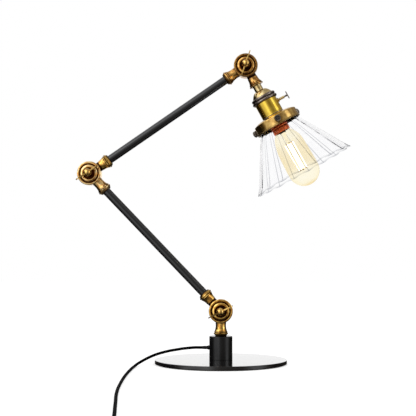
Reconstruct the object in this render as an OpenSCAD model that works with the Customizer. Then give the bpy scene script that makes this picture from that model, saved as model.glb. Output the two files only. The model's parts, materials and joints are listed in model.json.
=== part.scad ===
// Accordion desk lamp: a round base, a post, two black arms on three wing-key knuckles,
// a brass lamp holder with a gallery, a ribbed glass cone and a long-filament bulb.
// Millimetres, +Z up. The origin is on the table under the middle of the base.
// Both arms lie in the XZ plane, every knuckle turns about Y, and the front faces -Y.

/* [Base] */
// Diameter of the round base
base_d = 190; // [160:1:240]
// Thickness of the steel disc
base_t = 5.5; // [4:0.1:10]
// Bevel around the disc's edges
base_bevel = 0.8; // [0.3:0.1:1.5]
// Thickness of the felt pad under the disc
pad_t = 1; // [0.5:0.1:3]
// How far the pad stays inside the disc's rim
pad_inset = 3; // [1.5:0.5:8]

/* [Post] */
// Diameter of the post
post_d = 33.2; // [31:0.1:44]
// Height of the post above the disc
post_h = 33.3; // [32.5:0.1:60]
// Thickness of the post's wall
post_wall = 6; // [5:0.25:7]
// Thickness of the post's closed top
post_top_t = 6; // [4:0.25:7]
// Bevel around the post's top edge
post_bevel = 0.8; // [0.3:0.1:1.5]
// Thread diameter of the screws that hold the post to the disc
screw_d = 3.5; // [2.5:0.1:4]
// Head diameter of those screws
screw_head_d = 6.4; // [5:0.1:7]
// Length of those screws
screw_len = 14; // [10:1:22]
// Number of those screws
screw_count = 3; // [3:1:4]

/* [Arms] */
// Length of each arm's black tube that shows
rod_len = 203.2; // [150:0.1:260]
// Diameter of the arm tubes
rod_d = 12; // [11:0.1:12.8]
// Bore of the arm tubes
rod_bore = 7; // [6.8:0.1:7.4]
// Diameter of every thread that enters a neck
spigot_d = 10; // [9.6:0.1:10.4]
// Length of every thread that enters a neck
spigot_len = 10; // [8:0.5:11]
// Lean of the lower arm, to the left of upright
lower_lean = 43.8; // [30:0.1:60]
// Rise of the upper arm, above level
upper_rise = 34.5; // [20:0.1:45]
// Tilt of the head, to the right of straight down
head_tilt = 28.8; // [10:0.1:45]

/* [Knuckles] */
// Diameter of each knuckle
knuckle_d = 34.5; // [33.5:0.1:36]
// Thickness of half a knuckle
knuckle_t = 8.5; // [8:0.1:9.5]
// Gap between the two halves
knuckle_gap = 1; // [0.8:0.1:1.6]
// Width of the raised lip at the rim
lip_w = 3.4; // [2.4:0.1:3.8]
// Depth of the groove inside the lip
groove_depth = 1.4; // [0.8:0.1:1.8]
// Outer diameter of the raised inner ring
ring_d = 24.8; // [23.5:0.1:25.4]
// How far the inner ring stands above the lip
ring_rise = 1; // [0.4:0.1:1.6]
// Diameter of the recess in the middle
recess_d = 16.2; // [15:0.1:17.4]
// Depth of the recess below the lip
recess_depth = 2.8; // [2:0.1:3.2]
// Diameter of the hollow inside each half
hollow_d = 27.2; // [26:0.1:28]
// Depth of the hollow inside each half
hollow_depth = 4.3; // [3.9:0.1:4.5]
// Diameter of the boss around the bolt
boss_d = 10; // [8.5:0.1:11]
// Distance from a knuckle's axis to the end of its neck
neck_reach = 35.8; // [35:0.1:44]
// Diameter of the neck's waist
waist_d = 15; // [14.4:0.1:16]
// Diameter of the neck's bead
bead_d = 21; // [19:0.1:23]
// Diameter of the neck's foot
foot_d = 15; // [14.2:0.1:17]
// Length of the foot's cone past the bead
foot_len = 3; // [2:0.1:4]
// Gap between a neck and the other half's rim
neck_gap = 0.6; // [0.4:0.1:1]
// Diameter of the hole that leads the wires through a neck
passage_d = 3.6; // [3.4:0.1:3.6]
// Diameter of the clamping bolt
bolt_d = 5; // [4:0.1:5.6]

/* [Wing keys] */
// Diameter of the ball on each key
ball_d = 11.3; // [9:0.1:13]
// Distance from the arms' plane to the ball's centre
ball_out = 23; // [20:0.5:28]
// Diameter of the key's stem
stem_d = 6; // [5.6:0.1:7]
// Diameter of the key's collar in the recess
collar_d = 10.6; // [9:0.1:12]
// Span of the two wings
wing_span = 39; // [32:0.5:44]
// Thickness of the wings
wing_t = 1.5; // [1:0.1:2.5]
// Diameter of each wing's rounded lobe
lobe_d = 9.5; // [7:0.5:12]
// Angle of the shoulder key's wings above level
shoulder_key_angle = 27; // [0:1:90]
// Angle of the elbow key's wings above level
elbow_key_angle = 33.5; // [0:0.5:90]
// Angle of the head key's wings above level
head_key_angle = 71; // [0:1:90]

/* [Lamp holder] */
// Diameter of the threaded adapter under the head knuckle
adapter_d = 12.6; // [11.6:0.1:14]
// Length of that adapter that shows
adapter_len = 8.4; // [5:0.1:14]
// Height of the domed cap
dome_h = 9.3; // [8.6:0.1:13]
// Thickness of the domed cap
dome_wall = 1.2; // [0.8:0.1:1.5]
// Thickness of the flange under the domed cap
flange_t = 1.5; // [1:0.1:2]
// Diameter of the brass sleeve
sleeve_d = 32.8; // [32.4:0.1:34]
// Length of the brass sleeve
sleeve_len = 29.5; // [28:0.1:36]
// Thickness of the brass sleeve
sleeve_wall = 1; // [0.8:0.1:1.2]
// Diameter of the dark ring around the sleeve's top
dark_ring_d = 38.4; // [36.6:0.1:40]
// Height of that dark ring
dark_ring_h = 9; // [8:0.1:10]
// Depth of the porcelain core's hollow for the lamp cap
core_hollow = 17; // [15:0.5:18]
// How far the porcelain core reaches past the sleeve
core_out = 15.5; // [14:0.1:17]

/* [Switch] */
// Distance from the sleeve's top to the switch's axis
switch_along = 14; // [12:0.1:18]
// Diameter of the switch's brass bushing
bushing_d = 4.2; // [3.8:0.1:6]
// Reach of the bushing outside the sleeve
bushing_len = 10.6; // [6:0.1:13]
// Diameter of the switch's spindle
spindle_d = 2.4; // [2:0.1:2.8]
// Distance from the head's axis to the middle of the key's bar
bar_out = 32.3; // [31:0.1:36]
// Length of the key's bar
bar_len = 11.9; // [8:0.1:15]
// Width of the key's bar
bar_w = 3.2; // [2.6:0.1:5]
// Thickness of the key's bar
bar_t = 1.4; // [1:0.1:2.4]

/* [Gallery] */
// Thickness of the dark band that clamps the gallery
band_t = 1.5; // [1:0.1:2.5]
// Diameter of the gallery
gallery_d = 66.2; // [64:0.1:70]
// Height of the gallery
gallery_h = 17; // [15:0.1:19]
// Diameter of the flat middle of the gallery
gallery_flat_d = 44; // [42.5:0.5:50]
// Fall from the flat middle to the shoulder
gallery_fall = 3; // [1.5:0.1:4]
// Thickness of the gallery's wall
gallery_wall = 0.9; // [0.7:0.1:1.2]
// Height of the dark rim
rim_h = 2.3; // [1.5:0.1:3]
// How far the dark rim stands out
rim_out = 0.9; // [0.4:0.1:1.5]
// Diameter of the ring nut under the gallery
ring_nut_d = 40; // [36:0.5:42]
// Height of that ring nut
ring_nut_h = 3; // [2:0.1:4]
// Diameter of the thumb screws' heads
thumb_d = 9.4; // [7:0.1:10]
// Length of those heads
thumb_len = 5; // [3:0.1:7]
// Distance from the gallery's wall to those heads
thumb_gap = 3.4; // [1.5:0.1:5]
// Distance from the gallery's top to the thumb screws
thumb_along = 9.2; // [8.7:0.1:10.2]
// Diameter of the thumb screws' threads
thumb_thread_d = 3; // [2.4:0.1:4]
// Number of thumb screws
thumb_count = 3; // [3:1:3]

/* [Shade] */
// Diameter of the shade's mouth
mouth_d = 152.4; // [120:0.1:180]
// Length of the glass cone
cone_len = 76; // [60:0.5:95]
// Diameter of the shade's neck
shade_neck_d = 59; // [57:0.1:60]
// Length of the shade's neck
shade_neck_len = 11; // [9:0.1:13]
// How far the bead stands out around the neck's top
shade_bead = 1; // [0.5:0.1:1.5]
// Height of that bead
shade_bead_h = 2; // [1.5:0.1:2.4]
// Thickness of the glass
glass_t = 2.4; // [2:0.1:3.2]
// Number of ribs
rib_count = 18; // [12:1:24]
// Height of the ribs at the mouth
rib_depth = 2; // [1:0.1:3]

/* [Bulb] */
// Diameter of the lamp cap
lamp_cap_d = 26; // [25.6:0.1:26.4]
// Length of the lamp cap
lamp_cap_len = 26; // [24:0.1:28]
// Diameter of the bulb
bulb_d = 45.6; // [40:0.1:50]
// Length of the glass that shows
bulb_len = 86; // [75:0.1:100]
// Diameter of the glass where it leaves the cap
bulb_neck_d = 24.4; // [23:0.1:25]
// Thickness of the bulb's glass
bulb_wall = 0.8; // [0.6:0.1:1.2]
// Length of each filament
filament_len = 42; // [30:1:50]
// Number of filaments
filament_count = 4; // [3:1:6]
// Diameter of the circle that the filaments stand on
filament_ring_d = 13; // [10:0.5:16]

/* [Cord] */
// Diameter of the cord
cord_d = 4; // [3.8:0.1:4.2]
// Height of the cord's outlet above the disc
outlet_h = 16.9; // [16.5:0.1:21]
// Length of the tapered strain relief
relief_len = 10; // [8:0.5:24]
// Diameter of the strain relief at the post
relief_d = 5.6; // [5.4:0.1:8]
// Diameter of the strain relief at its tip
relief_tip_d = 4.6; // [4.4:0.1:5.2]

/* [Plug] */
// Width of the plug
plug_w = 24; // [22:0.5:28]
// Height of the plug
plug_h = 12.6; // [11:0.1:14]
// Length of the plug's body
plug_len = 22; // [18:0.5:28]
// Length of the plug's tapered tail
plug_tail = 14; // [10:0.5:20]
// Distance between the blades
blade_pitch = 12.7; // [12:0.1:14]
// Length of the blades
blade_len = 16.5; // [15:0.1:18]
// Width of the blades
blade_w = 6.3; // [5.5:0.1:7]
// Thickness of the blades
blade_t = 1.5; // [1.2:0.1:2]

/* [Hidden] */
$fn = 64;

// Clearances: what slides into a hole, what turns in a bore, and what turns above a face
slip = 0.05;
turn_play = 0.05;
face_play = 0.15;
key_play = 0.3;
over = 1;               // how far a cut runs past the face that it opens
blind_end = 0.5;        // room past the end of a thread in a blind hole

// Heights of the base
disc_top = pad_t + base_t;
post_top = disc_top + post_h;
outlet_z = disc_top + outlet_h;
chamber_r = post_d / 2 - post_wall;
chamber_top = post_top - post_top_t;
screw_ring_r = post_d / 2 - post_wall / 2;
screw_head_t = 2.2;
screw_lift = 0.1;       // the screws' heads stay this far above the pad
key_hole_share = 0.7;   // width of the screws' hexagon hole, as a share of their thread
nipple_tail = 5;        // length of the post's threaded pipe below the post's top
post_nut_af = 15;
post_nut_h = 3.5;
block = [10, 8];        // plan of the terminal block
block_h = chamber_top - nipple_tail - disc_top - 0.6;
block_hole_d = 3;
relief_barb_d = relief_d + 0.9;
relief_inside = post_wall + 0.9;

// Joint places, in the arms' plane
link = rod_len + 2 * neck_reach;
shoulder = [0, post_top + neck_reach];
elbow = shoulder + link * [-sin(lower_lean), cos(lower_lean)];
head = elbow + link * [cos(upper_rise), sin(upper_rise)];
lower_turn = -lower_lean;
upper_turn = 90 - upper_rise;
head_turn = 180 - head_tilt;

// Knuckle, as distances from the arms' plane
knuckle_r = knuckle_d / 2;
half_in = knuckle_gap / 2;
lip_out = half_in + knuckle_t;
groove_out = lip_out - groove_depth;
ring_out = lip_out + ring_rise;
recess_out = lip_out - recess_depth;
hollow_out = half_in + hollow_depth;
passage_out = half_in + 0.3 + passage_d / 2;
bore_r = bolt_d / 2 + turn_play;
edge_round = 0.8;       // rounding of the lip and of the inner ring's shoulders
neck_start = hollow_d / 2 + 0.5;
neck_front = groove_out - 0.5;
socket_depth = spigot_len + blind_end;
bead_along = neck_reach - foot_len;
head_reach = bead_along;
flare_len = 9;          // length of the flare that leads to the bead
bead_t = 1.1;
washer_out_r = knuckle_r - 0.5;
washer_in_r = hollow_d / 2 + 0.4;
nut_af = 9;
nut_h = 4.8;
nut_dome_r = 4.2;
bolt_back = 5;          // how far the bolt reaches into its cap nut
wire_d = 1.5;
wire_pitch = wire_d + 0.06;
wire_start = hollow_d / 2 - 2.6;

// Wing key
collar_out = recess_out + key_play;
collar_t = 1.6;
collar_cone = 1.8;
wing_top = 0.46;        // height of the web beside each lobe, as a share of the lobe

// Head, as distances from the head knuckle's axis
adapter_end = head_reach + adapter_len;
dome_end = adapter_end + dome_h;
sleeve_start = dome_end + flange_t;
sleeve_end = sleeve_start + sleeve_len;
sleeve_in_r = sleeve_d / 2 - sleeve_wall;
adapter_nut_af = 13;
adapter_nut_h = 3;
adapter_tail = dome_wall + adapter_nut_h + 1;
dome_r = sleeve_d / 2 - 0.8;
dark_ring_top = dome_end;
dark_groove = 2.6;
core_start = sleeve_start + 2;
core_r = sleeve_in_r - 0.1;
core_end = sleeve_end + core_out;
core_floor = core_end - core_hollow;
shell_r = lamp_cap_d / 2 + 0.15;
shell_wall = 0.4;
contact_t = 1.6;
contact_r = 4;
switch_z = sleeve_start + switch_along;
bushing_root = 3;       // how far the bushing reaches into the sleeve
bushing_flange_r = 3.3;
bushing_flange_t = 1.6;
spindle_in = 7;
band_start = sleeve_end;
band_r = sleeve_d / 2 + 0.7;
gallery_top = band_start + band_t;
gallery_r = gallery_d / 2;
thumb_z = gallery_top + thumb_along;
thumb_in = shade_neck_d / 2 + 0.25;
thumb_head_in = gallery_r + thumb_gap;

// Shade, from the top of its bead to its mouth
bead_slope = 0.4;       // length over which the bead falls to the neck
thumb_room = 0.1;       // between the bead and the thumb screws' threads
shade_top = thumb_z - thumb_thread_d / 2 - thumb_room - bead_slope - shade_bead_h;
cone_top = shade_top + shade_neck_len;
shade_neck_r = shade_neck_d / 2;
rib_steps = 6;
cone_steps = 7;
flare_out = 1;          // the last step flares by this much
cone_spread = mouth_d / 2 - rib_depth - flare_out - shade_neck_r;

// Bulb
button_h = 2.2;         // height of the contact on the lamp cap's closed end
lamp_cap_start = core_floor + contact_t + button_h;
lamp_cap_end = lamp_cap_start + lamp_cap_len;
bulb_end = lamp_cap_end + bulb_len;
bulb_r = bulb_d / 2;
bulb_ball_z = bulb_end - bulb_r;
bulb_belly = 0.94;      // the glass has this share of its width at the end of its taper
bulb_taper = 24;
bulb_middle = 45;       // where the glass is nearly at its full width
bulb_root = 6;          // how far the glass reaches into the cap
bulb_step = 0.7;        // the glass is this much narrower inside the cap
cap_floor = 2.4;        // thickness of that end
thread_pitch = 3.6;
thread_depth = 0.7;
filament_end = bulb_ball_z - 2;
filament_start = filament_end - filament_len;
filament_w = 1.8;
filament_t = 0.9;
hanger_r = 0.35;
hanger_hub_r = 1.4;
hanger_hub_h = 2;
stem_r = 2.6;
stem_root_r = bulb_neck_d / 2 - bulb_step - bulb_wall - 0.1;
stem_end = filament_start - hanger_r - hanger_hub_h / 2;
filament_angle = 20;    // turns the ring of filaments about the bulb's axis

// Cord: the route's points, chosen by hand, from the strain relief's tip to the coil
relief_tip = post_d / 2 + relief_len;
route = [
  [-relief_tip, 0, outlet_z], [-relief_tip - 5, 0, outlet_z], [-37, 0, outlet_z],
  [-43.6, -0.1, 22.9], [-50.8, -0.2, 22.2], [-58, -0.5, 21.3], [-65.2, -1, 20.1],
  [-72.3, -2.2, 19], [-79.3, -4, 17.5], [-86.2, -6.5, 15.9], [-93.1, -10, 13.9],
  [-99.8, -14.5, 11.5], [-106.2, -20.7, 8.7], [-112.2, -30, 5.8], [-116.2, -40, 3.8],
  [-118.3, -52, 2.5], [-119.4, -66, 2], [-119.8, -82, 2], [-119.9, -98, 2],
  [-120, -115, 2], [-119.9, -132, 2], [-119.7, -150, 2], [-119.3, -171, 2],
  [-118.7, -192, 2], [-117.9, -212, 2], [-117, -232, 2], [-116.1, -251, 2],
  [-115.1, -270, 2], [-114, -288, 2], [-112.7, -305, 2], [-111.3, -322, 2],
  [-109.8, -339, 2], [-108.1, -356, 2], [-106.2, -373, 2], [-104.2, -391, 2],
  [-102.3, -409, 2], [-100.3, -428, 2], [-97.9, -450, 2], [-95.3, -474, 2],
  [-92.9, -500, 2], [-91.2, -526, 2.3], [-90.4, -550, 2.7], [-90.2, -569, 2.7], [-90.2, -587, 2.7]
];
run_sides = 8;

// Coil: two layers of turns, wound in and out again
coil_turns = 8;
coil_in_r = 15;
coil_pitch = cord_d + 0.7;
coil_climb = cord_d + 0.6;
coil_z = route[len(route) - 1].z;
coil_rings = 24;
coil_sides = 6;
coil_lead = cord_d;     // straight stretch at either end
coil_round = 0.15;      // softens the spiral's turning point, in turns
coil_out_r = coil_radius(0);
plug_lift = 0.2;        // the plug and its blades stay this far above the table
plug_taper = 5;         // length of the narrowing at the plug's rear
plug_edge = 2;          // the plug's ends are this much slimmer all round
blade_hole_d = 3;
coil_centre = [route[len(route) - 1].x + coil_out_r, route[len(route) - 1].y - coil_lead];
plug_z = plug_h / 2 + plug_lift;
tail_drop = 30;         // length over which the coil's end comes down to the plug
tail_rings = 6;
plug_start = [coil_centre.x - coil_out_r, coil_centre.y - coil_lead - tail_drop, plug_z];
tie_w = 6;
tie_t = 0.6;
tie_play = 0.1;

// The half-turn climb between the coil's layers, eased at both ends
function ease(t) = let (c = max(0, min(1, t))) c * c * (3 - 2 * c);
function coil_radius(t) =
  coil_in_r + coil_pitch * (sqrt(pow(t - coil_turns / 2, 2) + pow(coil_round, 2)) - coil_round);
function coil_height(t) = coil_z + coil_climb * ease((t - coil_turns / 2) * 2 + 0.5);
function coil_point(t) = [
  coil_centre.x + coil_radius(t) * cos(180 + 360 * t),
  coil_centre.y + coil_radius(t) * sin(180 + 360 * t),
  coil_height(t)
];
coil_turn_points = [for (i = [0 : coil_turns * coil_rings]) coil_point(i / coil_rings)];
coil_last = coil_turn_points[len(coil_turn_points) - 1];
coil_points = concat(
  [[coil_centre.x - coil_out_r, coil_centre.y + coil_lead, coil_z]],
  coil_turn_points,
  [for (i = [1 : tail_rings]) let (s = i / tail_rings)
    [coil_last.x, coil_last.y - tail_drop * s, coil_last.z + (plug_z - coil_last.z) * ease(s)]],
  [plug_start]
);

// Least distance between stretches of the coil that are more than half a turn apart
coil_apart = min([for (i = [0 : len(coil_turn_points) - 1])
  for (j = [i + floor(coil_rings / 2) : 1 : len(coil_turn_points) - 1])
    norm(coil_turn_points[i] - coil_turn_points[j])]);
echo(coil_least_gap = coil_apart - cord_d);
// A route with one more point halfway along the curve through each two neighbours
function smooth(p) = [for (i = [0 : len(p) - 1]) each i == len(p) - 1 ? [p[i]] :
  [p[i], (9 * (p[i] + p[i + 1]) - p[max(i - 1, 0)] - p[min(i + 2, len(p) - 1)]) / 16]];
function path_length(p) = len(p) < 2 ? 0 : sum_steps(p, 0, 0);
function sum_steps(p, i, total) =
  i >= len(p) - 1 ? total : sum_steps(p, i + 1, total + norm(p[i + 1] - p[i]));
echo(run_length = path_length(smooth(route)), coil_length = path_length(coil_points));

// A round tube as one closed skin, swept along points with rings square to the path
function unit(v) = v / norm(v);
function heading(p, i) = unit(p[min(i + 1, len(p) - 1)] - p[max(i - 1, 0)]);
function sideways(p, i) = unit(cross([0, 0, 1], heading(p, i)));
module swept_tube(p, d, sides) {
  rings = [for (i = [0 : len(p) - 1])
    let (h = heading(p, i), s = sideways(p, i), u = cross(h, s))
    for (k = [0 : sides - 1])
      let (a = 360 * (k + 0.5) / sides) p[i] + d / 2 * (cos(a) * s + sin(a) * u)];
  n = len(p);
  faces = concat(
    [for (i = [0 : n - 2]) for (k = [0 : sides - 1]) let (m = (k + 1) % sides)
      each [[i * sides + k, (i + 1) * sides + m, i * sides + m],
            [i * sides + k, (i + 1) * sides + k, (i + 1) * sides + m]]],
    [for (k = [1 : sides - 2]) [0, k, k + 1]],
    [for (k = [1 : sides - 2]) [(n - 1) * sides, (n - 1) * sides + k + 1, (n - 1) * sides + k]]
  );
  polyhedron(rings, faces, convexity = 8);
}

// Points along an arc, for profiles
function arc(c, r, from, to, steps) =
  [for (i = [0 : steps]) let (a = from + (to - from) * i / steps) c + r * [cos(a), sin(a)]];

// Frames: each puts its children at a joint, with +Z along the piece that follows
module at_shoulder(turn) { translate([shoulder.x, 0, shoulder.y]) rotate([0, turn, 0]) children(); }
module at_elbow(turn) { translate([elbow.x, 0, elbow.y]) rotate([0, turn, 0]) children(); }
module at_head(turn) { translate([head.x, 0, head.y]) rotate([0, turn, 0]) children(); }
// Turns a shape whose axis is Z so that it points out of the front
module to_front() { rotate([90, 0, 0]) children(); }
module behind() { mirror([0, 1, 0]) children(); }
// Turns a shape whose axis is Z so that it points out of the head's side
module to_side(along, around) {
  translate([0, 0, along]) rotate([0, 0, around]) rotate([0, 90, 0]) children();
}

// One half of a knuckle: a round hollow disc in front of the arms' plane, and a neck along +Z
disc_profile = concat(
  [[bore_r, half_in], [boss_d / 2, half_in], [boss_d / 2, hollow_out], [hollow_d / 2, hollow_out],
   [hollow_d / 2, half_in], [knuckle_r, half_in]],
  arc([knuckle_r - edge_round, lip_out - edge_round], edge_round, 0, 90, 3),
  [[knuckle_r - lip_w, lip_out], [knuckle_r - lip_w, groove_out], [ring_d / 2, groove_out]],
  arc([ring_d / 2 - edge_round, ring_out - edge_round], edge_round, 0, 90, 3),
  arc([recess_d / 2 + edge_round, ring_out - edge_round], edge_round, 90, 180, 3),
  [[recess_d / 2, recess_out], [bore_r, recess_out]]
);
function neck_profile(reach, footed) = concat(
  [[0, neck_start], [waist_d / 2 + 0.4, neck_start]],
  [for (i = [0 : 6]) let (s = i / 6)
    [waist_d / 2 + (bead_d / 2 - 0.8 - waist_d / 2) * s * s, bead_along - 2 * bead_t - flare_len * (1 - s)]],
  [[bead_d / 2 - 0.3, bead_along - 1.7 * bead_t], [bead_d / 2 - 0.7, bead_along - bead_t],
   [bead_d / 2, bead_along - 0.5 * bead_t]],
  footed ? [[bead_d / 2 - 0.3, bead_along + 0.2], [foot_d / 2, reach]] : [[bead_d / 2 - 0.3, reach]],
  [[0, reach]]
);
module knuckle_half(reach = neck_reach, footed = true) {
  difference() {
    union() {
      to_front() rotate_extrude() polygon(disc_profile);
      difference() {
        rotate_extrude() polygon(neck_profile(reach, footed));
        to_front() translate([0, 0, half_in - knuckle_d]) cylinder(r = knuckle_r + neck_gap, h = knuckle_d);
        to_front() translate([0, 0, neck_front]) cylinder(r = knuckle_r - 0.2, h = knuckle_t);
      }
    }
    translate([0, 0, reach - socket_depth]) cylinder(d = spigot_d + 2 * slip, h = socket_depth + over);
    translate([0, -passage_out, hollow_d / 2 - 1.2])
      cylinder(d = passage_d, h = reach - socket_depth - hollow_d / 2 + 2);
  }
}
module half_brass() { color("#a9772f") children(); }

// Friction washer between two halves, seated on the front one
module washer() {
  color("#2b2620") to_front() translate([0, 0, face_play - half_in]) difference() {
    cylinder(r = washer_out_r, h = knuckle_gap - face_play);
    translate([0, 0, -over]) cylinder(r = washer_in_r, h = knuckle_gap + 2 * over);
  }
}

// Cap nut on the bolt's end, behind the rear half
module cap_nut() {
  color("#8d6426") behind() to_front() translate([0, 0, recess_out]) difference() {
    union() {
      cylinder(d = nut_af / cos(30), h = nut_h, $fn = 6);
      rotate_extrude() polygon(concat([[0, nut_h - 0.2], [nut_dome_r, nut_h - 0.2]],
        arc([0, nut_h], nut_dome_r, 0, 90, 6)));
    }
    translate([0, 0, -over]) cylinder(r = bore_r, h = bolt_back + over + blind_end);
  }
}

// Wing key: bolt, collar, stem, ball and a blade that stands square to the knuckle's face
module wing_key(angle) {
  lobe_at = wing_span / 2 - lobe_d / 2;
  color("#b98836") {
    to_front() {
      translate([0, 0, -recess_out - bolt_back])
        cylinder(d = bolt_d, h = recess_out + bolt_back + collar_out + collar_t / 2);
      rotate_extrude() polygon([[0, collar_out], [collar_d / 2, collar_out],
        [collar_d / 2, collar_out + collar_t], [stem_d / 2, collar_out + collar_t + collar_cone],
        [stem_d / 2, ball_out], [0, ball_out]]);
      translate([0, 0, ball_out]) sphere(d = ball_d);
    }
    rotate([0, -angle, 0]) translate([0, -ball_out, 0]) mirror([0, 1, 0])
      linear_extrude(wing_t, center = true) union() {
        for (side = [-1, 1]) translate([side * lobe_at, 0]) circle(d = lobe_d);
        polygon([[-lobe_at, -lobe_d / 4], [0, -ball_d / 4], [lobe_at, -lobe_d / 4],
          [lobe_at, lobe_d * wing_top], [0, ball_d / 4], [-lobe_at, lobe_d * wing_top]]);
      }
  }
}

// Two wires side by side between two points, each [distance along, distance in front]
module wire_pair(from, to) {
  run = norm(to - from);
  lean = atan2(to.y - from.y, to.x - from.x);
  color("#c9a227") for (side = [-1, 1])
    translate([side * wire_pitch / 2, -from.y, from.x]) rotate([lean, 0, 0]) cylinder(d = wire_d, h = run);
}

// Base
module at_screws() {
  for (i = [0 : screw_count - 1])
    rotate([0, 0, 90 + 360 * i / screw_count]) translate([screw_ring_r, 0, 0]) children();
}
module base_disc() {
  color("#2a2c33") difference() {
    translate([0, 0, pad_t]) rotate_extrude() polygon([
      [0, 0], [base_d / 2 - base_bevel, 0], [base_d / 2, base_bevel],
      [base_d / 2, base_t - base_bevel], [base_d / 2 - base_bevel, base_t], [0, base_t]]);
    at_screws() {
      cylinder(d = screw_d + 2 * slip, h = disc_top + over);
      cylinder(d = screw_head_d + 4 * slip, h = pad_t + screw_head_t);
    }
  }
}
module base_pad() { color("#1d1d1f") cylinder(d = base_d - 2 * pad_inset, h = pad_t); }
module base_post() {
  color("#141417") difference() {
    translate([0, 0, disc_top]) rotate_extrude() polygon([
      [0, 0], [post_d / 2, 0], [post_d / 2, post_h - post_bevel],
      [post_d / 2 - post_bevel, post_h], [0, post_h]]);
    translate([0, 0, disc_top - over]) cylinder(r = chamber_r, h = post_h - post_top_t + over);
    cylinder(d = spigot_d + 2 * slip, h = post_top + over);
    at_screws() cylinder(d = screw_d + 2 * slip, h = pad_t + screw_len + blind_end);
    translate([0, 0, outlet_z]) rotate([0, -90, 0]) cylinder(d = relief_d + 2 * slip, h = post_d);
  }
}
module post_screws() {
  color("#8b8d90") at_screws() translate([0, 0, pad_t]) difference() {
    union() {
      translate([0, 0, screw_lift]) cylinder(d = screw_head_d, h = screw_head_t - screw_lift);
      cylinder(d = screw_d, h = screw_len);
    }
    translate([0, 0, -over]) cylinder(d = screw_d * key_hole_share, h = over + screw_head_t / 2, $fn = 6);
  }
}
module post_nipple() {
  color("#b9b9b4") translate([0, 0, chamber_top - nipple_tail]) difference() {
    cylinder(d = spigot_d, h = nipple_tail + post_top_t + spigot_len);
    translate([0, 0, -over]) cylinder(d = rod_bore, h = nipple_tail + post_top_t + spigot_len + 2 * over);
  }
}
module post_nut() {
  color("#b9b9b4") translate([0, 0, chamber_top - post_nut_h]) difference() {
    cylinder(d = post_nut_af / cos(30), h = post_nut_h, $fn = 6);
    translate([0, 0, -over]) cylinder(d = spigot_d + 2 * slip, h = post_nut_h + 2 * over);
  }
}
module terminal_block() {
  color("#e6e3da") translate([0, 0, disc_top]) difference() {
    translate([-block.x / 2, -block.y / 2, 0]) cube([block.x, block.y, block_h]);
    for (side = [-1, 1]) translate([side * block.x / 4, -block.y / 2 - over, block_h / 3])
      rotate([-90, 0, 0]) cylinder(d = block_hole_d, h = block_hole_d + over);
  }
}
module cord_tail() {
  color("#161616") translate([-block.x / 2, 0, outlet_z]) rotate([0, -90, 0])
    cylinder(d = cord_d, h = post_d / 2 - relief_inside - block.x / 2);
}
module base_leads() {
  wire_pair([disc_top + block_h + 0.1, 1], [shoulder.y - wire_start, passage_out]);
}
module strain_relief() {
  color("#111111") translate([0, 0, outlet_z]) rotate([0, -90, 0]) rotate_extrude() polygon([
    [0, post_d / 2 - relief_inside], [relief_d / 2 - 0.4, post_d / 2 - relief_inside],
    [relief_d / 2, post_d / 2 - relief_inside + 0.8], [relief_d / 2, post_d / 2 + 0.3],
    [relief_barb_d / 2, post_d / 2 + 0.3], [relief_barb_d / 2, post_d / 2 + 1.6],
    [relief_d / 2 - 0.2, post_d / 2 + 2], [relief_tip_d / 2, post_d / 2 + relief_len],
    [0, post_d / 2 + relief_len]]);
}

// Shoulder, lower arm, elbow, upper arm and head knuckle
module shoulder_front() { at_shoulder(180) half_brass() knuckle_half(); }
module shoulder_washer() { at_shoulder(0) washer(); }
module shoulder_key() { at_shoulder(0) wing_key(shoulder_key_angle); }
module shoulder_rear() { at_shoulder(lower_turn) half_brass() behind() knuckle_half(); }
module shoulder_nut() { at_shoulder(lower_turn) cap_nut(); }
module arm_tube() {
  color("#17171a") translate([0, 0, neck_reach]) difference() {
    union() {
      cylinder(d = rod_d, h = rod_len);
      translate([0, 0, -spigot_len]) cylinder(d = spigot_d, h = rod_len + 2 * spigot_len);
    }
    translate([0, 0, -spigot_len - over])
      cylinder(d = rod_bore, h = rod_len + 2 * spigot_len + 2 * over);
  }
}
module lower_tube() { at_shoulder(lower_turn) arm_tube(); }
module lower_leads() {
  at_shoulder(lower_turn) wire_pair([wire_start, -passage_out], [link - wire_start, passage_out]);
}
module elbow_front() { at_elbow(lower_turn + 180) half_brass() knuckle_half(); }
module elbow_washer() { at_elbow(0) washer(); }
module elbow_key() { at_elbow(0) wing_key(elbow_key_angle); }
module elbow_rear() { at_elbow(upper_turn) half_brass() behind() knuckle_half(); }
module elbow_nut() { at_elbow(upper_turn) cap_nut(); }
module upper_tube() { at_elbow(upper_turn) arm_tube(); }
module upper_leads() {
  at_elbow(upper_turn) wire_pair([wire_start, -passage_out], [link - wire_start, passage_out]);
}
module head_front() { at_head(upper_turn + 180) half_brass() knuckle_half(); }
module head_washer() { at_head(0) washer(); }
module head_key() { at_head(0) wing_key(head_key_angle); }
module head_rear() {
  at_head(head_turn) half_brass() behind() knuckle_half(reach = head_reach, footed = false);
}
module head_nut() { at_head(head_turn) cap_nut(); }

// Lamp holder
module head_adapter() {
  color("#b08037") at_head(head_turn) difference() {
    union() {
      translate([0, 0, head_reach - spigot_len])
        cylinder(d = spigot_d, h = spigot_len + adapter_len + adapter_tail);
      translate([0, 0, head_reach]) cylinder(d = adapter_d, h = adapter_len);
    }
    translate([0, 0, head_reach - spigot_len - over])
      cylinder(d = rod_bore, h = spigot_len + adapter_len + adapter_tail + 2 * over);
  }
}
module head_leads() {
  at_head(head_turn) wire_pair([wire_start, -passage_out], [core_start - 0.1, -passage_out / 2]);
}
module adapter_nut() {
  color("#b9b9b4") at_head(head_turn) translate([0, 0, adapter_end + dome_wall]) difference() {
    cylinder(d = adapter_nut_af / cos(30), h = adapter_nut_h, $fn = 6);
    translate([0, 0, -over]) cylinder(d = spigot_d + 2 * slip, h = adapter_nut_h + 2 * over);
  }
}
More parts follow.
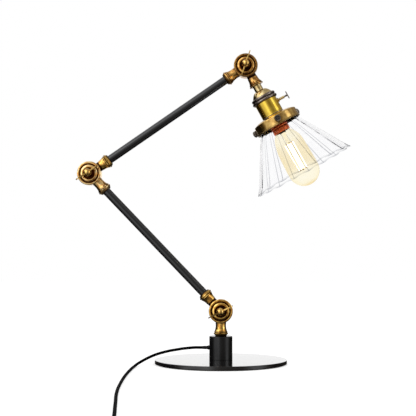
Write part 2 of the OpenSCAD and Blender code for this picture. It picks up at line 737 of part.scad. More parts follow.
// The dome is a parabola from its neck to its edge
function dome_curve(neck_r, inset) = [for (i = [0 : 6]) let (s = i / 6)
  [neck_r + (dome_r - inset - neck_r) * s, adapter_end + inset + (dome_h - inset) * s * s]];
module socket_dome() {
  outer = dome_curve(adapter_d / 2 + 0.2, 0);
  inner = dome_curve(adapter_nut_af / 2 / cos(30) + 0.2, dome_wall);
  color("#8f6d35") at_head(head_turn) rotate_extrude() polygon(concat(
    [[spigot_d / 2 + slip, adapter_end]], outer,
    [[sleeve_d / 2, dome_end], [sleeve_d / 2, sleeve_start], [dome_r - dome_wall, sleeve_start]],
    [for (i = [len(inner) - 1 : -1 : 0]) inner[i]],
    [[spigot_d / 2 + slip, adapter_end + dome_wall]]));
}
module socket_ring() {
  low = dark_ring_d / 2 - 1.6;
  color("#3a332b") at_head(head_turn) difference() {
    translate([0, 0, dark_ring_top]) rotate_extrude() polygon(concat(
      [[0, 0], [low - 0.4, 0], [low, 0.5], [low, dark_groove - 0.5], [low - 0.7, dark_groove]],
      arc([dark_ring_d / 2 - 1.2, dark_groove + 1.8], 1.2, 120, 0, 4),
      [[dark_ring_d / 2, dark_ring_h - 2.2], [dark_ring_d / 2 - 0.8, dark_ring_h - 0.9],
       [dark_ring_d / 2 - 1.6, dark_ring_h], [0, dark_ring_h]]));
    translate([0, 0, dark_ring_top - over]) cylinder(r = sleeve_d / 2 + slip, h = dark_ring_h + 2 * over);
  }
}
module socket_sleeve() {
  color("#b8892f") at_head(head_turn) difference() {
    translate([0, 0, sleeve_start]) cylinder(d = sleeve_d, h = sleeve_len);
    translate([0, 0, sleeve_start - over]) cylinder(r = sleeve_in_r, h = sleeve_len + 2 * over);
    to_side(switch_z, 180) cylinder(r = bushing_d / 2 + 2 * slip, h = sleeve_d);
  }
}
module socket_core() {
  color("#e9e4d8") at_head(head_turn) difference() {
    translate([0, 0, core_start]) cylinder(r = core_r, h = core_end - core_start);
    translate([0, 0, core_floor]) cylinder(r = shell_r + shell_wall + slip, h = core_hollow + over);
    to_side(switch_z, 180) cylinder(r = spindle_d / 2 + 2 * turn_play, h = sleeve_d);
    to_side(switch_z, 180) translate([0, 0, sleeve_d / 2 - bushing_root - 0.2])
      cylinder(r = bushing_d / 2 + 2 * slip, h = sleeve_d);
  }
}
module screw_shell() {
  color("#c39a45") at_head(head_turn) translate([0, 0, core_floor]) difference() {
    cylinder(r = shell_r + shell_wall, h = core_hollow);
    translate([0, 0, -over]) cylinder(r = shell_r, h = core_hollow + 2 * over);
  }
}
module centre_contact() {
  color("#c39a45") at_head(head_turn) translate([0, 0, core_floor]) cylinder(r = contact_r, h = contact_t);
}

// Switch: a bushing through the sleeve and a key that turns in it
module switch_bushing() {
  root = sleeve_d / 2 - bushing_root;
  color("#caa04c") at_head(head_turn) to_side(switch_z, 180) rotate_extrude() polygon([
    [spindle_d / 2 + turn_play, root], [bushing_d / 2, root], [bushing_d / 2, sleeve_d / 2 + 0.2],
    [bushing_flange_r, sleeve_d / 2 + 0.2], [bushing_flange_r, sleeve_d / 2 + bushing_flange_t],
    [bushing_d / 2 - 0.4, sleeve_d / 2 + bushing_flange_t + 0.5],
    [bushing_d / 2, sleeve_d / 2 + bushing_len / 2],
    [bushing_d / 2 - 0.4, sleeve_d / 2 + bushing_len],
    [spindle_d / 2 + turn_play, sleeve_d / 2 + bushing_len]]);
}
module switch_key() {
  color("#4a443b") at_head(head_turn) to_side(switch_z, 180) {
    translate([0, 0, spindle_in]) cylinder(d = spindle_d, h = bar_out - spindle_in);
    translate([0, 0, bar_out - bar_t / 2]) linear_extrude(bar_t) union() {
      for (side = [-1, 1]) translate([side * (bar_len - bar_w) / 2, 0]) circle(d = bar_w);
      square([bar_len - bar_w, bar_w], center = true);
    }
  }
}

// Gallery: the bell that holds the shade's neck
module clamp_band() {
  color("#2c2620") at_head(head_turn) translate([0, 0, band_start]) difference() {
    cylinder(r = band_r, h = band_t);
    translate([0, 0, -over]) cylinder(r = core_r + slip, h = band_t + 2 * over);
  }
}
module gallery() {
  w = gallery_wall;
  shoulder_z = gallery_fall + 1.2;
  color("#b48a35") at_head(head_turn) difference() {
    translate([0, 0, gallery_top]) rotate_extrude() polygon([
      [core_r + slip, 0], [gallery_flat_d / 2, 0], [gallery_r - 1.2, gallery_fall], [gallery_r, shoulder_z],
      [gallery_r, gallery_h - rim_h], [gallery_r + rim_out, gallery_h - rim_h + rim_out],
      [gallery_r + rim_out, gallery_h], [gallery_r - w, gallery_h], [gallery_r - w, shoulder_z + w / 2],
      [gallery_r - 1.2 - w / 2, gallery_fall + w], [gallery_flat_d / 2, w], [core_r + slip, w]]);
    for (i = [0 : thumb_count - 1]) to_side(thumb_z, thumb_angle(i))
      cylinder(d = thumb_thread_d + 2 * turn_play, h = gallery_d);
  }
}
module gallery_nut() {
  color("#3a332b") at_head(head_turn) translate([0, 0, gallery_top + gallery_wall]) difference() {
    cylinder(d = ring_nut_d, h = ring_nut_h);
    translate([0, 0, -over]) cylinder(r = core_r + slip, h = ring_nut_h + 2 * over);
  }
}
function thumb_angle(i) = -90 + 360 * i / thumb_count;
module thumb_screw(i) {
  color("#57504a") at_head(head_turn) to_side(thumb_z, thumb_angle(i)) rotate_extrude() polygon([
    [0, thumb_in], [thumb_thread_d / 2, thumb_in], [thumb_thread_d / 2, thumb_head_in],
    [thumb_d / 2 - 0.5, thumb_head_in], [thumb_d / 2, thumb_head_in + 0.5],
    [thumb_d / 2, thumb_head_in + thumb_len - 0.5], [thumb_d / 2 - 0.5, thumb_head_in + thumb_len],
    [0, thumb_head_in + thumb_len]]);
}
module thumb_screw_1() { thumb_screw(0); }
module thumb_screw_2() { thumb_screw(1); }
module thumb_screw_3() { thumb_screw(2); }

// Shade: stations from its top to its mouth, each [distance along, outer radius, inner radius, rib height]
shade_stations = concat(
  [[shade_top, shade_neck_r + shade_bead, shade_neck_r - glass_t, 0],
   [shade_top + shade_bead_h, shade_neck_r + shade_bead, shade_neck_r - glass_t, 0],
   [shade_top + shade_bead_h + bead_slope, shade_neck_r, shade_neck_r - glass_t, 0],
   [cone_top, shade_neck_r, shade_neck_r - glass_t, 0]],
  [for (i = [1 : cone_steps])
    let (s = i / cone_steps, r = shade_neck_r + cone_spread * s + (i == cone_steps ? flare_out : 0))
    [cone_top + cone_len * s, r, r - glass_t, rib_depth * sqrt(s)]]
);
module glass_shade() {
  around = rib_count * rib_steps;
  last = (len(shade_stations) - 1) * around;
  skin = last + around;
  points = [for (side = [1, 2]) for (st = shade_stations) for (k = [0 : around - 1])
    let (r = st[side] + st[3] * (1 - sin(180 * (k % rib_steps) / rib_steps)))
    [r * cos(360 * k / around), r * sin(360 * k / around), st[0]]];
  walls = [for (i = [0 : around : last - 1]) for (k = [0 : around - 1])
    let (a = i + k, b = i + (k + 1) % around)
    each [[a, b + around, b], [a, a + around, b + around],
          [skin + a, skin + b, skin + b + around], [skin + a, skin + b + around, skin + a + around]]];
  edges = [for (k = [0 : around - 1]) let (m = (k + 1) % around)
    each [[k, m, skin + m], [k, skin + m, skin + k],
          [last + k, skin + last + m, last + m], [last + k, skin + last + k, skin + last + m]]];
  color([0.93, 0.95, 0.97, 0.35]) at_head(head_turn) polyhedron(points, concat(walls, edges), convexity = 10);
}

// Bulb
module lamp_cap() {
  r = lamp_cap_d / 2;
  threads = floor((lamp_cap_len - bulb_root) / thread_pitch);
  color("#b4552d") at_head(head_turn) translate([0, 0, lamp_cap_start]) difference() {
    rotate_extrude() polygon(concat([[0, 0], [r - 4, 0], [r - thread_depth, cap_floor - 0.4]],
      [for (i = [0 : threads - 1]) each [[r, cap_floor - 0.4 + thread_pitch * (i + 0.5)],
        [r - thread_depth, cap_floor - 0.4 + thread_pitch * (i + 1)]]],
      [[bulb_neck_d / 2 + 0.3, lamp_cap_len - 1], [bulb_neck_d / 2 + 0.3, lamp_cap_len], [0, lamp_cap_len]]));
    translate([0, 0, cap_floor]) cylinder(r = bulb_neck_d / 2 - bulb_step + 0.1, h = lamp_cap_len);
  }
}
module cap_contact() {
  color("#8c8f92") at_head(head_turn) translate([0, 0, core_floor + contact_t]) rotate_extrude()
    polygon([[0, 0], [contact_r - 0.5, 0], [contact_r + 1, 0.8], [contact_r + 3.5, button_h], [0, button_h]]);
}
// The glass's half section, the wall inside its outside: neck, taper and rounded end
function bulb_curve(wall) = let (neck_r = bulb_neck_d / 2 - wall, rise = wall / 2) concat(
  [[neck_r - bulb_step, -bulb_root], [neck_r - bulb_step, rise], [neck_r, 1 + rise]],
  [for (i = [1 : 8]) let (s = i / 8)
    [neck_r + (bulb_r * bulb_belly - bulb_neck_d / 2) * (1 - pow(1 - s, 2.2)), 1 + rise + bulb_taper * s]],
  [[bulb_r - 0.4 - wall, bulb_middle]],
  arc([0, bulb_len - bulb_r], bulb_r - wall, 0, 90, 12)
);
module bulb_glass() {
  inside = bulb_curve(bulb_wall);
  color([0.98, 0.86, 0.5, 0.5]) at_head(head_turn) translate([0, 0, lamp_cap_end]) rotate_extrude()
    polygon(concat(bulb_curve(0), [for (i = [len(inside) - 1 : -1 : 0]) inside[i]]));
}
module bulb_stem() {
  color([0.95, 0.93, 0.85, 0.6]) at_head(head_turn) rotate_extrude() polygon([
    [0, lamp_cap_end - bulb_root + 0.5], [stem_root_r, lamp_cap_end - bulb_root + 0.5],
    [stem_root_r, lamp_cap_end - bulb_root + 1.5], [stem_r + 1.4, lamp_cap_end + 3],
    [stem_r, lamp_cap_end + 8], [stem_r, stem_end], [0, stem_end]]);
}
module filaments() {
  color("#fff3c8") at_head(head_turn) for (i = [0 : filament_count - 1])
    rotate([0, 0, filament_angle + 360 * i / filament_count])
      translate([filament_ring_d / 2 - filament_t / 2, -filament_w / 2, filament_start])
        cube([filament_t, filament_w, filament_len]);
}
// Two wire stars with a hub each, at the filaments' two ends
module filament_hanger() {
  color("#a8793a") at_head(head_turn) for (z = [filament_start - hanger_r, filament_end + hanger_r]) {
    for (i = [0 : filament_count - 1]) rotate([0, 0, filament_angle + 360 * i / filament_count])
      translate([hanger_hub_r / 2, 0, z]) rotate([0, 90, 0])
        cylinder(r = hanger_r, h = (filament_ring_d + filament_t - hanger_hub_r) / 2, $fn = 16);
    translate([0, 0, z - hanger_hub_h / 2]) cylinder(r = hanger_hub_r, h = hanger_hub_h);
  }
}

// Cord, coil and plug
module cord_run() { color("#121212") swept_tube(smooth(route), cord_d, run_sides); }
module cord_coil() { color("#121212") swept_tube(coil_points, cord_d, coil_sides); }
module coil_tie() {
  wide = coil_out_r - coil_in_r + cord_d + 2 * tie_play;
  tall = coil_climb + cord_d + 2 * tie_play;
  mid = (coil_out_r + coil_in_r) / 2;
  color("#2b2b2b") translate([coil_centre.x + mid, coil_centre.y, coil_z + coil_climb / 2])
    rotate([90, 0, 0]) difference() {
      translate([-wide / 2 - tie_t, -tall / 2 - tie_t, -tie_w / 2])
        cube([wide + 2 * tie_t, tall + 2 * tie_t, tie_w]);
      translate([-wide / 2, -tall / 2, -tie_w / 2 - over]) cube([wide, tall, tie_w + 2 * over]);
    }
}
// A block of the plug: how far its ends lie behind the tail, and how much slimmer it is than the plug
module plug_block(from, to, slimmer) {
  translate([-plug_w / 2 + slimmer, -plug_tail - to, -plug_h / 2 + slimmer])
    cube([plug_w - 2 * slimmer, to - from, plug_h - 2 * slimmer]);
}
module plug_body() {
  color("#131313") translate(plug_start) {
    hull() {
      plug_block(0, plug_taper, plug_edge);
      plug_block(plug_taper, plug_len - plug_edge, 0);
      plug_block(plug_len - plug_edge, plug_len, plug_edge);
    }
    rotate([90, 0, 0]) cylinder(d1 = cord_d + 1.4, d2 = cord_d + 5, h = plug_tail);
  }
}
module plug_blades() {
  color("#c8b273") translate(plug_start) for (side = [-1, 1])
    translate([side * blade_pitch / 2 - blade_t / 2, -plug_tail - plug_len - blade_len, -blade_w / 2])
      difference() {
        cube([blade_t, blade_len, blade_w]);
        translate([-over, blade_len / 5, blade_w / 2])
          rotate([0, 90, 0]) cylinder(d = blade_hole_d, h = blade_t + 2 * over);
      }
}

base_disc();
base_pad();
base_post();
post_screws();
post_nipple();
post_nut();
terminal_block();
cord_tail();
base_leads();
strain_relief();
shoulder_front();
shoulder_washer();
shoulder_key();
shoulder_rear();
shoulder_nut();
lower_tube();
lower_leads();
elbow_front();
elbow_washer();
elbow_key();
elbow_rear();
elbow_nut();
upper_tube();
upper_leads();
head_front();
head_washer();
head_key();
head_rear();
head_nut();
head_adapter();
head_leads();
adapter_nut();
socket_dome();
socket_ring();
socket_sleeve();
socket_core();
screw_shell();
centre_contact();
switch_bushing();
switch_key();
clamp_band();
gallery();
gallery_nut();
thumb_screw_1();
thumb_screw_2();
thumb_screw_3();
glass_shade();
lamp_cap();
cap_contact();
bulb_glass();
bulb_stem();
filaments();
filament_hanger();
cord_run();
cord_coil();
coil_tie();
plug_body();
plug_blades();
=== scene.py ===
# Accordion desk lamp: black arms on brass wing-key knuckles, and a ribbed glass cone over a lit amber bulb.
# Each piece is built at its own place in the row frame. Dictionaries are in millimetres, meshes in metres.
import json
import math
import bmesh
import bpy
from mathutils import Matrix, Vector


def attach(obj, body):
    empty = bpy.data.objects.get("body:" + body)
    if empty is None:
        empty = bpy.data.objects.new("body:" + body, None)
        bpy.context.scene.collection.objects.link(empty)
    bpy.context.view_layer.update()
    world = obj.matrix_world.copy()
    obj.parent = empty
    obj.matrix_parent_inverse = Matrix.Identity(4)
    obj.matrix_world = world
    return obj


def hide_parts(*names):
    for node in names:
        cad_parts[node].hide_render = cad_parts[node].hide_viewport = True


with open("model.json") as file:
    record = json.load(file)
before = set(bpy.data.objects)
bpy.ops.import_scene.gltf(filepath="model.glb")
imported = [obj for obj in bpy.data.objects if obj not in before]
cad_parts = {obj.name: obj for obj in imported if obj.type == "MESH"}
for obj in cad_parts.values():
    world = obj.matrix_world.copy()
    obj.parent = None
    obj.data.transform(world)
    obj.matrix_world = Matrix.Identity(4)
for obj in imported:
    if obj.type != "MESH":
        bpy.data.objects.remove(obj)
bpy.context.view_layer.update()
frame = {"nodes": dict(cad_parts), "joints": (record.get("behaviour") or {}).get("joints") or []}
mm = 0.001
fullTurn = 2 * math.pi
scene = bpy.context.scene
scene.view_settings.view_transform = "Standard"


# Places, all worked out from the frame's joints
def shift(x, y, z):
    return Matrix.Translation((x * mm, y * mm, z * mm))


def turned(degrees, axis):
    return Matrix.Rotation(math.radians(degrees), 4, axis)


def outward(along, around):
    # +Z points out of a side: that far along the piece's axis, and that many degrees around it
    return shift(0, 0, along) @ turned(around, "Z") @ turned(90, "Y")


def turnTo(start, end):
    # the turn about Y that points +Z from start to end
    along = end - start
    return math.atan2(along.x, along.z)


def placeAt(origin, turn):
    return Matrix.Translation(origin) @ Matrix.Rotation(turn, 4, "Y")


jointPlace = {joint["name"]: Vector(joint["pos_m"]) for joint in frame["joints"]}
shoulder, elbow, head = jointPlace["shoulder"], jointPlace["elbow"], jointPlace["head"]
lowerTurn = turnTo(shoulder, elbow)
upperTurn = turnTo(elbow, head)
headTurn = turnTo(head, jointPlace["switch_turn"])
headPlace = placeAt(head, headTurn)
upright = Matrix.Identity(4)
toFront = turned(90, "X")                       # +Z becomes -Y
toLeft = turned(-90, "Y")                       # +Z becomes -X
mirrorBack = Matrix.Scale(-1, 4, (0, 1, 0))     # what is in front goes behind


def addObject(name, data):
    item = bpy.data.objects.new(name, data)
    scene.collection.objects.link(item)
    return item


# Camera, fitted to the photograph
cameraSettings = {
    "place": (29.1, -1500, 160.5),
    "lens": 90.08,
    "sensor": 36,
    "pitch": 2.412,             # degrees above level
    "yaw": 1.816,               # degrees to the left
    "farthest": 100,            # in metres
}
cameraData = bpy.data.cameras.new("camera")
cameraData.lens = cameraSettings["lens"]
cameraData.sensor_width = cameraSettings["sensor"]
cameraData.clip_end = cameraSettings["farthest"]
camera = addObject("camera", cameraData)
camera.location = Vector(cameraSettings["place"]) * mm
camera.rotation_euler = (math.radians(90 + cameraSettings["pitch"]), 0, math.radians(cameraSettings["yaw"]))
scene.camera = camera
print("camera placed")


# Material nodes
def hexColor(code):
    def linear(part):
        value = int(part, 16) / 255
        return value / 12.92 if value <= 0.04045 else ((value + 0.055) / 1.055) ** 2.4
    return tuple(linear(code[i:i + 2]) for i in (1, 3, 5)) + (1.0,)


def addNode(tree, kind, settings=None, sockets=None, links=None):
    node = tree.nodes.new(kind)
    for key, value in (settings or {}).items():
        setattr(node, key, value)
    for key, value in (sockets or {}).items():
        node.inputs[key].default_value = value
    for key, source in (links or {}).items():
        tree.links.new(source, node.inputs[key])
    return node


def newMaterial(name):
    # a material with an empty tree
    material = bpy.data.materials.new(name)
    material.use_nodes = True
    material.node_tree.nodes.clear()
    return material, material.node_tree


def setStops(ramp, stops):
    # stops are (position, hex colour or grey)
    elements = ramp.color_ramp.elements
    while len(elements) < len(stops):
        elements.new(0.5)
    for element, (position, tone) in zip(elements, stops):
        element.position = position
        element.color = hexColor(tone) if isinstance(tone, str) else (tone, tone, tone, 1)
    return ramp.outputs["Color"]


# Mesh tools
def lathe(profile, steps=96, closed=False):
    # profile points are (radius, distance along) or (radius, distance along, level of the mask for patina,
    # tint and painted shade), spun about Z
    bm = bmesh.new()
    patinaTintAndShade = bm.verts.layers.float.new("patinaTintAndShade")
    verts = []
    for radius, along, *patinaTintAndShadeTone in profile:
        vert = bm.verts.new((radius * mm, 0, along * mm))
        vert[patinaTintAndShade] = patinaTintAndShadeTone[0] if patinaTintAndShadeTone else 0.0
        verts.append(vert)
    edges = [bm.edges.new(pair) for pair in zip(verts, verts[1:])]
    if closed:
        edges.append(bm.edges.new((verts[-1], verts[0])))
    bmesh.ops.spin(bm, geom=verts + edges, cent=(0, 0, 0), axis=(0, 0, 1), angle=fullTurn, steps=steps,
                   use_merge=True)
    bmesh.ops.remove_doubles(bm, verts=bm.verts, dist=1e-6)
    bmesh.ops.recalc_face_normals(bm, faces=bm.faces)
    return bm


def arcPoints(center, radius, start, end, steps, height=None):
    # an arc, or part of an ellipse if it has a height of its own
    turns = [math.radians(start + (end - start) * i / steps) for i in range(steps + 1)]
    return [(center[0] + radius * math.cos(a), center[1] + (height or radius) * math.sin(a)) for a in turns]


def moved(bm, matrix):
    bmesh.ops.transform(bm, matrix=matrix, verts=bm.verts)
    return bm


def rod(radius, start, end, steps=48):
    return lathe([(0, start), (radius, start), (radius, end), (0, end)], steps)


def block(wide, deep, tall):
    bm = bmesh.new()
    bmesh.ops.create_cube(bm, size=1)
    return moved(bm, Matrix.Diagonal((wide * mm, deep * mm, tall * mm, 1)))


def drum(bm, radius, thick, place, steps):
    bmesh.ops.create_cone(bm, cap_ends=True, segments=steps, radius1=radius * mm, radius2=radius * mm,
                          depth=thick * mm, matrix=place)


def bevelEdges(bm, edges, width, segments):
    bmesh.ops.bevel(bm, geom=edges, offset=width * mm, offset_type="OFFSET", segments=segments, profile=0.5,
                    affect="EDGES", material=-1, clamp_overlap=True)
    return bm


def bevelSharp(bm, width, segments, over):
    sharp = [edge for edge in bm.edges
             if len(edge.link_faces) == 2 and edge.calc_face_angle() > math.radians(over)]
    return bevelEdges(bm, sharp, width, segments)


def wrapDrums(drums, steps, edge):
    # the hull of upright drums (radius, thickness, place), with its edges rounded
    bm = bmesh.new()
    for radius, thick, place in drums:
        drum(bm, radius, thick, shift(*place), steps)
    hull = bmesh.ops.convex_hull(bm, input=bm.verts)
    inside = [item for item in hull["geom_interior"] if isinstance(item, bmesh.types.BMVert)]
    bmesh.ops.delete(bm, geom=inside, context="VERTS")
    bmesh.ops.dissolve_limit(bm, angle_limit=math.radians(2), verts=bm.verts, edges=bm.edges)
    bmesh.ops.recalc_face_normals(bm, faces=bm.faces)
    return bevelSharp(bm, edge, 3, 60)


def joinShapes(*shapes):
    # the first shape takes in the others
    for shape in shapes[1:]:
        spare = bpy.data.meshes.new("spare")
        shape.to_mesh(spare)
        shape.free()
        shapes[0].from_mesh(spare)
        bpy.data.meshes.remove(spare)
    return shapes[0]


def combineShapes(base, added=(), cut=()):
    # the base with shapes added to it, and then others cut out of it
    holders = []
    for shape in (base, *added, *cut):
        mesh = bpy.data.meshes.new("combine")
        shape.to_mesh(mesh)
        shape.free()
        holders.append(addObject("combine", mesh))
    for i, holder in enumerate(holders[1:]):
        modifier = holders[0].modifiers.new("combine", "BOOLEAN")
        modifier.operation = "UNION" if i < len(added) else "DIFFERENCE"
        modifier.solver = "EXACT"
        modifier.object = holder
    result = bmesh.new()
    result.from_mesh(holders[0].evaluated_get(bpy.context.evaluated_depsgraph_get()).data)
    for holder in holders:
        mesh = holder.data
        bpy.data.objects.remove(holder)
        bpy.data.meshes.remove(mesh)
    bmesh.ops.dissolve_degenerate(result, edges=result.edges, dist=1e-6)
    return result


def ease(share):
    clipped = max(0.0, min(1.0, share))
    return clipped * clipped * (3 - 2 * clipped)


def sideways(vert):
    # distance from the axis in metres, and angle around it
    return math.hypot(vert.co.x, vert.co.y), math.atan2(vert.co.y, vert.co.x)


def spread(vert, factor):
    vert.co.x *= factor
    vert.co.y *= factor


def makePiece(name, bm, place, material, body, node, sharpOver=38, weighted=True):
    # an object at the origin with its place in its mesh, smooth but for edges over that angle
    moved(bm, place)
    if place.determinant() < 0:
        bmesh.ops.reverse_faces(bm, faces=bm.faces)
    for face in bm.faces:
        face.smooth = True
    for edge in bm.edges:
        edge.smooth = len(edge.link_faces) != 2 or edge.calc_face_angle() < math.radians(sharpOver)
    mesh = bpy.data.meshes.new(name)
    bm.to_mesh(mesh)
    bm.free()
    mesh.materials.append(material)
    piece = addObject(name, mesh)
    if weighted:
        piece.modifiers.new("normals", "WEIGHTED_NORMAL").keep_sharp = True
    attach(piece, body)
    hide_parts(node)


def makePieces(settings, place, body, rows, weighted=True):
    # rows are (name, shape, finish, node, slot)
    for name, shape, finish, node, slot in rows:
        makePiece(name, shape(settings), place, finish, body, node, weighted=weighted)


def dressNodes(material, *names):
    # CAD nodes that keep their own mesh and get this finish
    for name in names:
        frame["nodes"][name].data.materials.clear()
        frame["nodes"][name].data.materials.append(material)


# Finishes
grainSpan = (0.3, 0.7)          # where nearly all of a noise's values lie
maskDulling = 0.35              # how much rougher metal is where its mask for patina and painted shade lies


def makeFinish(name, size, detail, stops, relief, sockets, rough=None, patinaTintAndShadeTone=None, depth=None):
    # a grain about size millimetres across sets colour, gloss and relief, and the piece's mask mixes in a
    # tone of its own, for patina, tint and painted shade
    material, tree = newMaterial(name)
    coords = addNode(tree, "ShaderNodeTexCoord")
    noise = addNode(tree, "ShaderNodeTexNoise", sockets={"Scale": 1 / (size * mm), "Detail": detail},
                    links={"Vector": coords.outputs["Object"]})
    grain = noise.outputs["Fac"]
    tone = setStops(addNode(tree, "ShaderNodeValToRGB", links={"Fac": grain}), stops)
    links = {}
    if rough:
        gloss = addNode(tree, "ShaderNodeMapRange", links={"Value": grain}, sockets={
            "From Min": grainSpan[0], "From Max": grainSpan[1], "To Min": rough[0], "To Max": rough[1]})
        links["Roughness"] = gloss.outputs["Result"]
    if patinaTintAndShadeTone:
        patinaTintAndShade = addNode(tree, "ShaderNodeAttribute", {"attribute_name": "patinaTintAndShade"}).outputs["Fac"]
        mixed = addNode(tree, "ShaderNodeMix", {"data_type": "RGBA"}, {7: hexColor(patinaTintAndShadeTone)}, {0: patinaTintAndShade, 6: tone})
        tone = mixed.outputs[2]
    if patinaTintAndShadeTone and rough:
        dulled = addNode(tree, "ShaderNodeMath", {"operation": "MULTIPLY_ADD"}, {1: maskDulling},
                         {0: patinaTintAndShade, 2: links["Roughness"]})
        links["Roughness"] = dulled.outputs["Value"]
    if relief:
        bump = addNode(tree, "ShaderNodeBump", sockets={"Distance": relief * mm}, links={"Height": grain})
        links["Normal"] = bump.outputs["Normal"]
    if "Emission Strength" in sockets:
        links["Emission Color"] = tone
    shader = addNode(tree, "ShaderNodeBsdfPrincipled", sockets=sockets, links={"Base Color": tone, **links})
    ends = {"Surface": shader.outputs["BSDF"]}
    if depth:
        dye = addNode(tree, "ShaderNodeVolumeAbsorption",
                      sockets={"Color": hexColor(depth[0]), "Density": depth[1]})
        ends["Volume"] = dye.outputs["Volume"]
    addNode(tree, "ShaderNodeOutputMaterial", links=ends)
    return material


def metalFinish(name, bright, dull, patinaAndShadeTone, rough, size, dent=0.004):
    # worked metal: two tones in soft clouds, and a dark tone where the piece's mask is high: patina in its
    # hollows, and painted shade in creases, recesses and where parts meet
    return makeFinish(name, size, 2.0, [(0.36, dull), (0.62, bright)], dent, {"Metallic": 1.0}, rough, patinaAndShadeTone)


def mouldedFinish(name, pale, deep, rough, size, dent, ior, coat=0.0, sheen=0.0):
    # painted, moulded, pressed or fired surface
    return makeFinish(name, size, 3.0, [(0.35, deep), (0.65, pale)], dent, {
        "IOR": ior, "Coat Weight": coat, "Coat Roughness": 0.04,
        "Sheen Weight": sheen, "Sheen Roughness": 0.6}, rough)


def glassFinish(name, clear, edge, ior, ripple, size, depth=None):
    # glass with the faint waves of its making, and a second tone where the piece's mask is high: painted
    # shade lines on the ribbed shade, a deeper amber wash on the bulb
    return makeFinish(name, size, 1.0, [(0.3, clear[0]), (0.7, clear[1])], ripple, {
        "Roughness": 0.0, "IOR": ior, "Transmission Weight": 1.0}, None, edge, depth)


# extruded PVC sheath: near black, an even low gloss
extrudedPvc = mouldedFinish("extrudedPvcSheath", "#0b0b0c", "#060607", (0.60, 0.72), 1.2, 0.01, 1.05)
# PVC moulded in a spark-eroded tool: black with a fine even grain
mouldedPvc = mouldedFinish("mouldedPvc", "#111112", "#09090a", (0.45, 0.58), 0.8, 0.03, 1.35)
# woven nylon strap: dull black with a soft edge light
wovenNylon = mouldedFinish("wovenNylonStrap", "#2b2b2d", "#141416", (0.7, 0.85), 0.9, 0.12, 1.53, sheen=0.4)
# baked gloss enamel on a turned disc: deep black under a clear skin that mirrors at a low angle
bakedEnamel = mouldedFinish("bakedGlossEnamel", "#0e0d12", "#09080c", (0.10, 0.16), 3.5, 0.003, 1.36, 0.6)
# sprayed satin lacquer on steel: black, slightly grainy from the spray
satinLacquer = mouldedFinish("sprayedSatinLacquer", "#101114", "#090a0c", (0.20, 0.28), 0.7, 0.004, 1.42)
# the same lacquer on the drawn arm tubes, with more gloss, and painted a lighter grey black for the light the
# tubes catch: a long glint on deep grey black
tubeLacquer = mouldedFinish("sprayedTubeLacquer", "#1b1c20", "#121316", (0.18, 0.25), 0.7, 0.004, 1.56)
# pressed wool felt: charcoal, no gloss, fuzzy
pressedFelt = mouldedFinish("pressedWoolFelt", "#2a2a2c", "#131315", (0.9, 1.0), 0.6, 0.25, 1.45, sheen=0.6)
# fibre washer, pressed and cut: dull brown black
pressedFibre = mouldedFinish("pressedFibre", "#2d2721", "#191512", (0.75, 0.9), 0.5, 0.05, 1.5)
# glazed electrical porcelain: warm white under a thin glossy glaze
glazedPorcelain = mouldedFinish("glazedPorcelain", "#ece7dc", "#e0dacc", (0.12, 0.22), 2.5, 0.01, 1.55, 0.5)
# PVC insulation on thin wires: amber, slightly glossy
leadSleeve = mouldedFinish("wireInsulation", "#c9a23a", "#b38c28", (0.35, 0.5), 1.0, 0.01, 1.53)
# cast brass, turned, blackened and rubbed back by hand: brown gold, with patina and painted shade in its
# hollows, in three copies: paler for the elbow's front half and nut, darker for the head
agedBrass = metalFinish("rubbedCastBrass", "#f4cb72", "#bf883e", "#2e1206", (0.05, 0.10), 4.5)
goldenBrass = metalFinish("rubbedCastBrassPaler", "#f8dca0", "#d8a058", "#431e08", (0.05, 0.10), 4.5)
darkBrass = metalFinish("rubbedCastBrassDarker", "#e2b265", "#a8753c", "#2a1207", (0.05, 0.10), 4.5)
# spun brass sheet with a thin lacquer: clear yellow
spunBrass = metalFinish("spunYellowBrass", "#ebc852", "#dcb440", "#3b2a10", (0.10, 0.16), 8.0, 0.002)
# pressed brass with an aged lacquer: duller, slightly green yellow
pressedBrass = metalFinish("pressedAgedBrass", "#dcb76e", "#ac8649", "#2b2012", (0.12, 0.19), 7.0, 0.003)
# brass with a silvery plating that has worn thin: pale gold
paleBrass = metalFinish("wornPlatedBrass", "#e0cb98", "#c0a46c", "#3a2a18", (0.12, 0.19), 5.0, 0.003)
# turned and polished brass for what the fingers hold: bright gold
turnedBrass = metalFinish("turnedBrass", "#f4d07c", "#c8924a", "#331606", (0.05, 0.10), 3.0)
# dark bronze, chemically browned: nearly black with a grey sheen
brownedBronze = metalFinish("brownedBronze", "#938780", "#6c615a", "#1f1a17", (0.22, 0.32), 2.5, 0.006)
# blackened steel on the thumb screws: dark grey with a brown bloom
blackenedSteel = metalFinish("blackenedSteel", "#94897f", "#655c55", "#1c1816", (0.24, 0.34), 2.0, 0.006)
# zinc plate on steel: pale blue grey, slightly cloudy
zincPlate = metalFinish("zincPlatedSteel", "#b9bbbd", "#9a9da0", "#55575a", (0.25, 0.38), 1.5)
# copper plated lamp cap: red brown, darker in the thread's valleys
copperPlate = metalFinish("copperPlatedCap", "#e0703c", "#bf4f24", "#5c1c0b", (0.34, 0.46), 2.0)
# tinned wire, painted a warm brown for the glow of the lit strips beside it
wireWithPaintedGlow = metalFinish("wireWithPaintedGlow", "#b08a50", "#8a6532", "#4a3315", (0.25, 0.35), 1.0, 0.002)
# pressed clear glass with soft waves, of a low index so that its outlines stay thin; its grey second tone is
# painted shade along the ribs and the mouth
pressedGlass = glassFinish("pressedClearGlass", ("#fcfcfd", "#ffffff"), "#80838c", 1.08, 0.01, 9.0)
# blown soda glass, amber through its thickness and so deeper at its edges
amberGlass = glassFinish("amberWashedGlass", ("#fffdf4", "#fffef9"), "#f3dfa8", 1.05, 0, 8.0, ("#fbe26a", 75))
